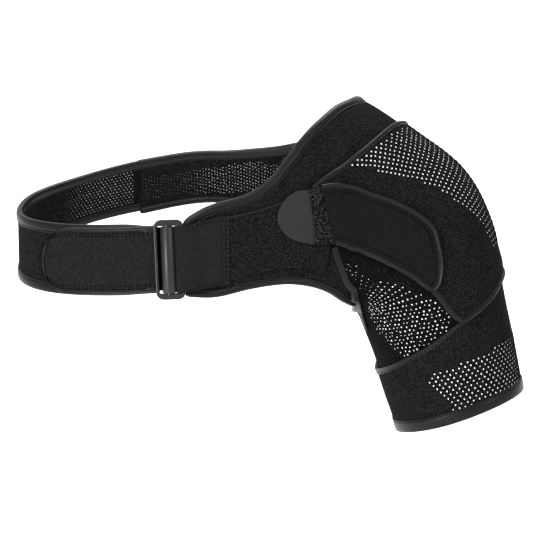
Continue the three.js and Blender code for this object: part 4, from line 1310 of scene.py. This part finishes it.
def buckle_mesh():
    """Buckle frame with softened edges and its roller, which is turned about the frame's long axis."""
    tool = bmesh.new()
    ring = []
    outlines = (
        (BUCKLE_WIDTH, BUCKLE_HEIGHT, BUCKLE_CORNER),
        (BUCKLE_WIDTH - 2 * BUCKLE_SIDE, OPENING_HEIGHT, OPENING_CORNER),
    )
    for width, height, corner in outlines:
        for k, (sx, sy) in enumerate(((1, 1), (-1, 1), (-1, -1), (1, -1))):
            for t in np.radians(np.linspace(0, 90, 9) + 90 * k):
                ring.append((sx * (width / 2 - corner) + corner * math.cos(t),
                             sy * (height / 2 - corner) + corner * math.sin(t)))
    half = BUCKLE_WALL / 2
    verts = [tool.verts.new((x, y, z)) for z in (half, -half) for x, y in ring]
    n = len(ring) // 2
    for i in range(n):
        j = (i + 1) % n
        tool.faces.new([verts[i], verts[j], verts[n + j], verts[n + i]])
        tool.faces.new([verts[2 * n + i], verts[3 * n + i], verts[3 * n + j], verts[2 * n + j]])
        tool.faces.new([verts[i], verts[2 * n + i], verts[2 * n + j], verts[j]])
        tool.faces.new([verts[n + i], verts[n + j], verts[3 * n + j], verts[3 * n + i]])
    bmesh.ops.recalc_face_normals(tool, faces=tool.faces)
    rims = [e for e in tool.edges if e.calc_face_angle(0) > math.radians(60)]
    bmesh.ops.bevel(tool, geom=rims, offset=FRAME_BEVEL, segments=4, affect="EDGES", profile=0.6)
    low = BAR_GAP + 0.7
    profile = [(0.0, 0), (BAR_NECK / 2, 0), (BAR_NECK / 2, low), (ROLLER_RADIUS - 0.9, low),
               (ROLLER_RADIUS - 0.25, low + 0.25), (ROLLER_RADIUS, low + 0.9)]
    length = OPENING_HEIGHT + 2.4
    section = [(r, y - length / 2) for r, y in profile] + [(r, length / 2 - y) for r, y in reversed(profile)]
    turn = np.radians(np.arange(0, 360, 7.5))
    rings = [
        [tool.verts.new((ROLLER_OFFSET + r * math.cos(t), y, r * math.sin(t))) for t in turn]
        for r, y in section[1:-1]
    ]
    for a, b in zip(rings, rings[1:]):
        for i in range(len(turn)):
            tool.faces.new([a[i], a[i - 1], b[i - 1], b[i]])
    tool.faces.new(rings[0])
    tool.faces.new(rings[-1][::-1])
    bmesh.ops.recalc_face_normals(tool, faces=tool.faces)
    bmesh.ops.transform(tool, matrix=BUCKLE_PLACE, verts=tool.verts)
    bmesh.ops.scale(tool, vec=(MM, MM, MM), verts=tool.verts)
    mesh = bpy.data.meshes.new("buckle_body")
    tool.to_mesh(mesh)
    tool.free()
    return mesh


# Sizes and colours


class BraceSizes(bpy.types.PropertyGroup):
    stitch_length: FloatProperty(name="Stitch length", description="Length of one stitch in millimetres",
                                 default=2.2, min=0.5, max=6)
    stitch_pitch: FloatProperty(name="Stitch pitch", description="Distance from stitch to stitch in millimetres",
                                default=3.4, min=1, max=10)
    hole_radius: FloatProperty(name="Hole radius", description="Radius of a perforation in millimetres",
                               default=0.78, min=0.2, max=2)
    hole_seed: IntProperty(name="Hole seed", description="Seed of the perforations' slight unevenness", default=7)
    floor_drop: FloatProperty(name="Floor depth", description="Height of the brace's hem over the floor",
                              default=0.22, min=0, max=2, unit="LENGTH")


def look(name, description, colour):
    """Colour property, grey where one number is given."""
    colour = colour if isinstance(colour, tuple) else (colour, colour, colour)
    return FloatVectorProperty(name=name, description=description, subtype="COLOR", default=colour, min=0, max=1)


class BraceLooks(bpy.types.PropertyGroup):
    fleece: look("Fleece", "Colour of the looped cloth", 0.0092)
    tape: look("Tape", "Colour of the edge tapes", (0.0045, 0.0045, 0.0047))
    patch: look("Patch", "Colour of the flap's patch", (0.0058, 0.0058, 0.006))
    # The tab's colour also paints the highlight lines along the overlay's and the webbing's edges
    tab: look("Tab", "Colour of the pull tab", 0.0135)
    strap_end: look("Strap end", "Colour of the strap's hook end", (0.0046, 0.0046, 0.0048))
    plush: look("Plush", "Colour of the plush strip", 0.013)
    thread: look("Thread", "Colour of the stitches", 0.0008)
    holes: look("Holes", "Colour of the layer under the perforations", 0.7)
    plastic: look("Plastic", "Colour of the buckle", (0.006, 0.006, 0.0062))


# Painted highlights along cut edges: light lines of stitches longer than their pitch, so that they run into one another
EDGE_HIGHLIGHT = {"length": 3.6, "pitch": 3.4}


class BRACE_OT_yoke(bpy.types.Operator):
    """Yoke over the shoulder"""

    bl_idname = "brace.yoke"
    bl_label = "Shoulder yoke"

    def execute(self, context):
        places = panel_places(NECK_EDGE, ARM_SIDE_EDGE, wide(YOKE_STEPS + 1), 20)
        cloth("yoke_cloth", BODY, places, level(0), WALL, ["looped fleece"], ["shoulder_yoke"], "fleece")
        return {"FINISHED"}


class BRACE_OT_sleeve(bpy.types.Operator):
    """Arm sleeve under the yoke and the flap"""

    bl_idname = "brace.sleeve"
    bl_label = "Arm sleeve"

    def execute(self, context):
        top = sleeve_top()
        angle, station = top[:, 0], top[:, 1]
        low = hem_station(angle)
        share = wide(60)
        places = stack(angle[:, None] + 0 * share, low[:, None] + (station - low)[:, None] * share)
        cloth("sleeve_cloth", BODY, places, level(0), WALL, ["perforated cloth"], ["arm_sleeve"],
              "perforated_cloth", ringed=True)
        return {"FINISHED"}


class BRACE_OT_cuff(bpy.types.Operator):
    """Cuff round the lower arm"""

    bl_idname = "brace.cuff"
    bl_label = "Arm cuff"

    def execute(self, context):
        cloth("cuff_cloth", BODY, cuff_places(), level(CUFF_BASE), CUFF_WALL, ["looped fleece"], ["arm_cuff"],
              "fleece", ringed=True)
        return {"FINISHED"}


class BRACE_OT_chest(bpy.types.Operator):
    """Overlay on the chest and the tape over the armhole's seam"""

    bl_idname = "brace.chest"
    bl_label = "Chest overlay and seam tape"

    def execute(self, context):
        places = panel_places(OVERLAY_TOP, OVERLAY_BOTTOM, wide(90), 24)
        cloth("overlay_cloth", BODY, places, level(OVERLAY_BASE), OVERLAY_WALL, ["looped fleece"],
              ["chest_overlay"], "fleece", sides="abs")
        # Painted highlight: a light line along the overlay's top edge, in the tab's cloth
        edge = along_outline(OVERLAY_TOP, wide(120))
        stitches("overlay_edge_highlight", [(BODY, edge, level(OVERLAY_BASE + OVERLAY_WALL - 0.1))], **EDGE_HIGHLIGHT,
                 finish="tab cloth", slot="fleece", thick=0.45)
        cloth("armhole_tape_cloth", BODY, seam_places(), seam_base, TAPE_WALL + 0.3, ["binding tape"],
              ["armhole_tape"], "binding", sides="ab")
        return {"FINISHED"}


class BRACE_OT_flap(bpy.types.Operator):
    """Compression flap over the shoulder"""

    bl_idname = "brace.flap"
    bl_label = "Wrap flap"

    def execute(self, context):
        places = panel_places(FLAP_TOP, FLAP_BOTTOM, wide(161), 48)
        flap = cloth("flap_cloth", BODY, places, flap_base, FLAP_WALL, ["looped fleece"], ["wrap_flap"], "fleece")
        return {"FINISHED"}


class BRACE_OT_closure(bpy.types.Operator):
    """Patch, plush strip and pull tab that close the flap"""

    bl_idname = "brace.closure"
    bl_label = "Patch, strip and tab"

    def execute(self, context):
        patch = panel_places(PATCH_TOP, PATCH_BOTTOM, wide(110), 30)
        cloth("patch_cloth", BODY, patch, patch_base, PATCH_WALL, ["patch cloth"], ["flap_patch"], "smooth_cloth")
        strip = panel_places(STRIP_LEFT, [(a, b - STRIP_TUCK) for a, b in STRIP_RIGHT], wide(60), 10)
        cloth("strip_plush", BODY, strip, level(STRIP_BASE), STRIP_WALL, ["plush loops"], ["plush_strip"], "plush",
              sides="abse")
        tab = panel_places(TAB_OUTLINE, TAB_ROOT, wide(70), 16)
        cloth("tab_cloth", BODY, tab, level(TAB_BASE), TAB_WALL, ["tab cloth"], ["hook_tab"], "smooth_cloth",
              sides="a")
        return {"FINISHED"}


class BRACE_OT_strap(bpy.types.Operator):
    """Chest strap, its hook end and the webbing loop"""

    bl_idname = "brace.strap"
    bl_label = "Chest strap, hook end and loop"

    def execute(self, context):
        def none(distance):
            return 0 * distance

        def strip(name, path, wall, half, shift, spot, finish, nodes, slot, across=22):
            finish_piece(name, fold_mesh(name, path, wall, half, shift, spot, across), [finish], nodes, slot)

        strip("strap_cloth", strap_path(), FOLD_WALL, strap_half, none, strap_spot, "looped fleece",
              ["torso_strap"], "fleece")
        rows = [(d, float(end_height(d))) for d in end_rows()]
        strip("strap_end_cloth", rows, STRAP_END_WALL, end_half, end_shift, strap_spot, "hook cloth",
              ["strap_end"], "smooth_cloth", 30)
        behind = BUCKLE_LIFT - BAR_DIAMETER / 2 - 1.2
        rows = [(d - BAR_X, behind) for d in np.linspace(BAR_X + 6, -BAR_X - 3, 16)]
        strip("buckle_underlay", rows, 0.9, lambda d: 0 * d + OPENING_HEIGHT / 2 - 1.3, none,
              lambda d, up, h: by_buckle(-BAR_X - d, up, h), "perforated cloth", (), "fleece", 12)
        strip("loop_webbing", loop_path(), WEBBING, loop_half, loop_shift, loop_spot, "twill webbing",
              ["buckle_loop"], "webbing", 24)
        seam = np.linspace(-0.5, 0.5, 30) * (STRAP.section(np.array([STRAP_LENGTH, 0.0]))[3] - 18)
        places = stack(lerp(STRAP_LENGTH - 4, STRAP_LENGTH + 2, wide(7)), seam[:, None])
        cloth("strap_seam_cloth", STRAP, places, level(-0.9), TAPE_WALL, ["perforated cloth"],
              ["strap_seam_tape"], "binding")
        return {"FINISHED"}


class BRACE_OT_buckle(bpy.types.Operator):
    """Moulded buckle with its round bar"""

    bl_idname = "brace.buckle"
    bl_label = "Buckle"

    def execute(self, context):
        finish_piece("buckle_body", buckle_mesh(), ["buckle plastic"], ["buckle"], "plastic", sharp=40)
        return {"FINISHED"}


class BRACE_OT_tapes(bpy.types.Operator):
    """Edge tapes of the yoke, sleeve, cuff, flap, patch and strap"""

    bl_idname = "brace.tapes"
    bl_label = "Edge tapes"

    def execute(self, context):
        edge_tape("neck_tape", BODY, neck_path(), NECK_TAPE, level(0), WALL, "neck_binding", plump=1.1)
        edge_tape("underarm_tape", BODY, underarm_path(), UNDERARM_TAPE, level(0), WALL, "underarm_binding",
                  plump=0.7, round_=6)
        cuff = cuff_places()
        edge_tape("cuff_tape", BODY, cuff[::-1, -1], CUFF_TAPE, level(CUFF_BASE), CUFF_WALL, "cuff_binding",
                  folded=False, ringed=True)
        edge_tape("hem_tape", BODY, cuff[:, 0], HEM_TAPE, level(0), CUFF_BASE + CUFF_WALL, "hem_binding",
                  ringed=True, plump=0.1)
        edge_tape("flap_tape", BODY, round_path(FLAP_TOP, FLAP_BOTTOM), FLAP_TAPE, flap_base, FLAP_WALL,
                  "flap_binding", folded=False, round_=2)
        edge_tape("patch_tape", BODY, round_path(PATCH_TOP, PATCH_BOTTOM), PATCH_TAPE, patch_base, PATCH_WALL,
                  "patch_binding", folded=False, step=1.2)
        run = np.linspace(1, STRAP_LENGTH + 1.2, 320)
        half = strap_half(run)
        for side, path in (("top", stack(run, half)), ("bottom", stack(run, -half)[::-1])):
            edge_tape(f"strap_{side}_tape", STRAP_FACE, path, STRAP_TAPE, level(0), WALL, f"strap_{side}_binding",
                      plump=0.4)
        edge_tape("strap_end_tape", END, end_outline(), END_TAPE, level(0), STRAP_END_WALL, "strap_end_binding",
                  folded=False, plump=0.1, step=1.2)
        return {"FINISHED"}


class BRACE_OT_stitches(bpy.types.Operator):
    """Rows of stitches along the tapes and seams"""

    bl_idname = "brace.stitches"
    bl_label = "Stitches"

    def execute(self, context):
        size = context.scene.brace_sizes
        fine = {"length": size.stitch_length, "pitch": size.stitch_pitch}

        def row(on, path, distance, height):
            return on, inset(on, path, distance), height

        def over_flap(places):
            return flap_base(places) + FLAP_WALL + TAPE_GAP + 0.1

        def over_patch(places):
            return patch_base(places) + PATCH_WALL + 0.05

        top = level(WALL + TAPE_GAP + 0.1)
        stitches("yoke_stitches", [
            row(BODY, neck_path(), NECK_TAPE - STITCH_IN, top),
            row(BODY, soften(underarm_path(), 20), UNDERARM_TAPE - STITCH_IN, top),
        ], **fine)
        cuff = cuff_places()
        top = level(CUFF_BASE + CUFF_WALL + TAPE_GAP + 0.1)
        stitches("sleeve_stitches", [
            row(BODY, closed(cuff[::-1, -1]), CUFF_TAPE - STITCH_IN, top),
            row(BODY, closed(cuff[:, 0]), HEM_TAPE - STITCH_IN, top),
        ], **fine)
        top = level(STRIP_BASE + STRIP_WALL - 0.1)
        left, right = along_outline(STRIP_LEFT, wide(60)), along_outline(STRIP_RIGHT, wide(60))
        stitches("flap_stitches", [
            row(BODY, round_path(FLAP_TOP, FLAP_BOTTOM), FLAP_TAPE - STITCH_IN, over_flap),
            row(BODY, round_path(PATCH_TOP, PATCH_BOTTOM), PATCH_ROW, over_patch),
            *[(BODY, lerp(left, right, share), top) for share in STRIP_STITCHES],
        ], **fine)
        loop_rows = []
        along = np.linspace(3, LOOP_LENGTH - 3, 30)
        for side in (1, -1):
            path = stack(along, side * loop_half(along) * LOOP_STITCHED)
            loop_rows.append((LOOP, path, level(WEBBING / 2)))
        for back in WEBBING_STITCHES:
            up = np.linspace(-LOOP_STITCHED, LOOP_STITCHED, 40) * loop_half(LOOP_LENGTH - back)
            loop_rows.append((LOOP, stack(LOOP_LENGTH - back, up), level(WEBBING / 2)))
        # Painted highlight: a light line along the webbing loop's folded end, in the tab's cloth
        up = wide(60, -1) * loop_half(LOOP_LENGTH)
        stitches("webbing_edge_highlight", [(LOOP, stack(LOOP_LENGTH - 0.25, up), level(WEBBING / 2 - 0.25))], **EDGE_HIGHLIGHT,
                 finish="tab cloth", slot="webbing")
        run = np.linspace(4, STRAP_LENGTH - 0.5, 320)
        half = strap_half(run)
        strap_rows = [
            (STRAP_FACE, stack(run, side * (half - STRAP_ROW)), level(height))
            for height in (WALL + TAPE_GAP + 0.12, -TAPE_GAP - 0.1) for side in (1, -1)
        ]
        over_end = level(STRAP_END_WALL + 0.05)
        end_stitched = [row(END, end_outline(), distance, over_end) for distance in END_STITCHES]
        stitches("strap_stitches", [*strap_rows, *end_stitched, *loop_rows], **fine)
        return {"FINISHED"}


class BRACE_OT_perforations(bpy.types.Operator):
    """Perforations of the flap, sleeve, cuff and strap"""

    bl_idname = "brace.perforations"
    bl_label = "Perforations"

    def execute(self, context):
        size = context.scene.brace_sizes
        chance = np.random.default_rng(size.hole_seed)

        def holes(name, places, height, small=0.85, large=1.08, **more):
            radius = size.hole_radius * chance.uniform(small, large, len(places))
            height_ = height(places) + OUTER_SWELL * give(BODY.point(places))
            perforations(name, BODY, places, height_, radius, "hole floor", **more)

        def inside(places, name, on, bright, share):
            """Perforations on an inner face, in a shaded copy of the hole floor, and smaller where the face is darker:
            painted shade.
            """
            places = places + chance.normal(0, 1, places.shape) * ([0.12, 0.0008] if on is BODY else [0.08, 0.08])
            radius = size.hole_radius * chance.uniform(0.5, 0.78, len(places)) * bright
            perforations(name, on, places, share * give(on.point(places)), radius, "inner hole floor", inward=True)

        flap = hole_places(FLAP_HOLES, 4.8, 3.65, size.hole_seed, 0.1)
        edge = along_outline(FLAP_TOP, wide(200))
        order = np.argsort(edge[:, 0])
        limit = np.interp(flap[:, 0], edge[order, 0], edge[order, 1]) - FLAP_HOLES_MARGIN
        holes("flap_perforations", flap[flap[:, 1] < limit], lambda places: flap_base(places) + FLAP_WALL)
        sleeve = hole_places(SLEEVE_HOLES, 3.5, 3.9, size.hole_seed + 1, 0.5, 128)
        dim = sleeve[:, 1] > ARMHOLE_STATION
        holes("sleeve_perforations", sleeve[~dim], level(WALL), 0.6, 1.08)
        holes("armhole_perforations", sleeve[dim], level(WALL), 0.35, 0.7)
        cuff = hole_places(CUFF_HOLES, 3.3, 4.7, size.hole_seed + 2, 0.12, 60)
        holes("cuff_perforations", cuff, level(CUFF_BASE + CUFF_WALL), 0.7, 0.95, stretch=1.3)
        back = hole_places(BACK_HOLES, 2.8, 3.2, size.hole_seed + 3, 0.15, -58)
        # Painted shade: the dots on the back's inner face shrink away from station 2.5
        bright = 1 - 0.5 * smooth(np.abs(back[:, 1] - 2.5) / 0.2 - 0.5)
        inside(back, "back_perforations", BODY, bright, INNER_SWELL)
        # A lattice on the strap, its rows staggered by half their distance, whose dots shrink away from the seam as
        # painted shade
        run, up = np.meshgrid(np.arange(-92, -5, 1.62), np.arange(-17, 17, LATTICE_RISE), indexing="ij")
        up = up + LATTICE_RISE / 2 * (np.arange(len(run)) % 2)[:, None]
        strap = stack(STRAP_LENGTH + run, up).reshape(-1, 2)
        bright = 1 - 0.6 * smooth((-run.ravel() - 45) / 35)
        inside(strap, "strap_perforations", STRAP, bright, 0)
        return {"FINISHED"}


# Lights: name, place, width and power
AIM = Vector((-0.10, 0, -0.11))
LIGHTS = (
    ("key light", (-0.75, -1.1, 1.1), 0.7, 26),
    ("fill light", (1.2, -1.2, 0.5), 1.1, 12),
    ("top light", (-0.1, 0.5, 1.5), 1.0, 22),
    ("strip light", (-0.92, -1.2, -0.1), 0.4, 15),
    ("floor light", (0.0, 2.5, 2.6), 3.0, 160),
)
FLOOR = (-9, -6, 9, 14)
LENS = 98.5
CAMERA_PLACE = (-0.1187, -1.2016, 0.2287)
CAMERA_TILT = 74


class BRACE_OT_stage(bpy.types.Operator):
    """Pale floor, soft lights and the camera"""

    bl_idname = "brace.stage"
    bl_label = "Floor, lights and camera"

    def execute(self, context):
        scene = context.scene
        size = scene.brace_sizes
        mesh = bpy.data.meshes.new("floor")
        low = CAD_BOX[0].z - size.floor_drop
        left, near, right, far = FLOOR
        corners = [(left, near, low), (right, near, low), (right, far, low), (left, far, low)]
        mesh.from_pydata(corners, [], [(0, 1, 2, 3)])
        floor = bpy.data.objects.new("floor", mesh)
        scene.collection.objects.link(floor)
        material, tree, shader = new_material("pale floor")
        shader.inputs["Base Color"].default_value = (0.93, 0.93, 0.93, 1)
        shader.inputs["Roughness"].default_value = 0.9
        grain = node_of(tree, "TexNoise", {"Scale": 60.0, "Detail": 3.0})
        bump(tree, shader, grain.outputs["Fac"], 0.02, 0.5)
        mesh.materials.append(material)
        world = bpy.data.worlds.new("soft room")
        world.use_nodes = True
        world.node_tree.nodes["Background"].inputs["Color"].default_value = (1, 1, 1, 1)
        world.node_tree.nodes["Background"].inputs["Strength"].default_value = 0.8
        scene.world = world
        for name, place, width, power in LIGHTS:
            light = bpy.data.lights.new(name, "AREA")
            light.shape = "DISK"
            light.size = width
            light.energy = power
            lamp = bpy.data.objects.new(name, light)
            lamp.location = place
            target = AIM if name != "floor light" else Vector((0, 4.0, low))
            lamp.rotation_euler = (target - Vector(place)).to_track_quat("-Z", "Y").to_euler()
            scene.collection.objects.link(lamp)
        lens = bpy.data.cameras.new("photo camera")
        lens.sensor_fit = "HORIZONTAL"
        lens.sensor_width = 36
        lens.lens = LENS
        lens.clip_start = 0.05
        camera = bpy.data.objects.new("photo camera", lens)
        camera.location = CAMERA_PLACE
        camera.rotation_euler = (math.radians(CAMERA_TILT), 0, 0)
        scene.collection.objects.link(camera)
        scene.camera = camera
        scene.view_settings.view_transform = "Standard"
        return {"FINISHED"}


PIECES = (
    BRACE_OT_yoke,
    BRACE_OT_sleeve,
    BRACE_OT_cuff,
    BRACE_OT_chest,
    BRACE_OT_flap,
    BRACE_OT_closure,
    BRACE_OT_strap,
    BRACE_OT_buckle,
    BRACE_OT_tapes,
    BRACE_OT_stitches,
    BRACE_OT_perforations,
    BRACE_OT_stage,
)


class BRACE_PT_panel(bpy.types.Panel):
    """Sizes, colours and pieces of the brace"""

    bl_idname = "BRACE_PT_panel"
    bl_label = "Shoulder brace"
    bl_space_type = "VIEW_3D"
    bl_region_type = "UI"
    bl_category = "Brace"

    def draw(self, context):
        layout = self.layout
        for values in (context.scene.brace_sizes, context.scene.brace_looks):
            box = layout.box()
            for key in values.__annotations__:
                box.prop(values, key)
        for piece in PIECES:
            layout.operator(piece.bl_idname)


CLASSES = (BraceSizes, BraceLooks, *PIECES, BRACE_PT_panel)


def register():
    for cls in CLASSES:
        bpy.utils.register_class(cls)
    bpy.types.Scene.brace_sizes = PointerProperty(type=BraceSizes)
    bpy.types.Scene.brace_looks = PointerProperty(type=BraceLooks)


def unregister():
    del bpy.types.Scene.brace_looks
    del bpy.types.Scene.brace_sizes
    for cls in reversed(CLASSES):
        bpy.utils.unregister_class(cls)


def main():
    register()
    for piece in PIECES:
        group, name = piece.bl_idname.split(".")
        getattr(getattr(bpy.ops, group), name)()


if __name__ == "__main__":
    main()
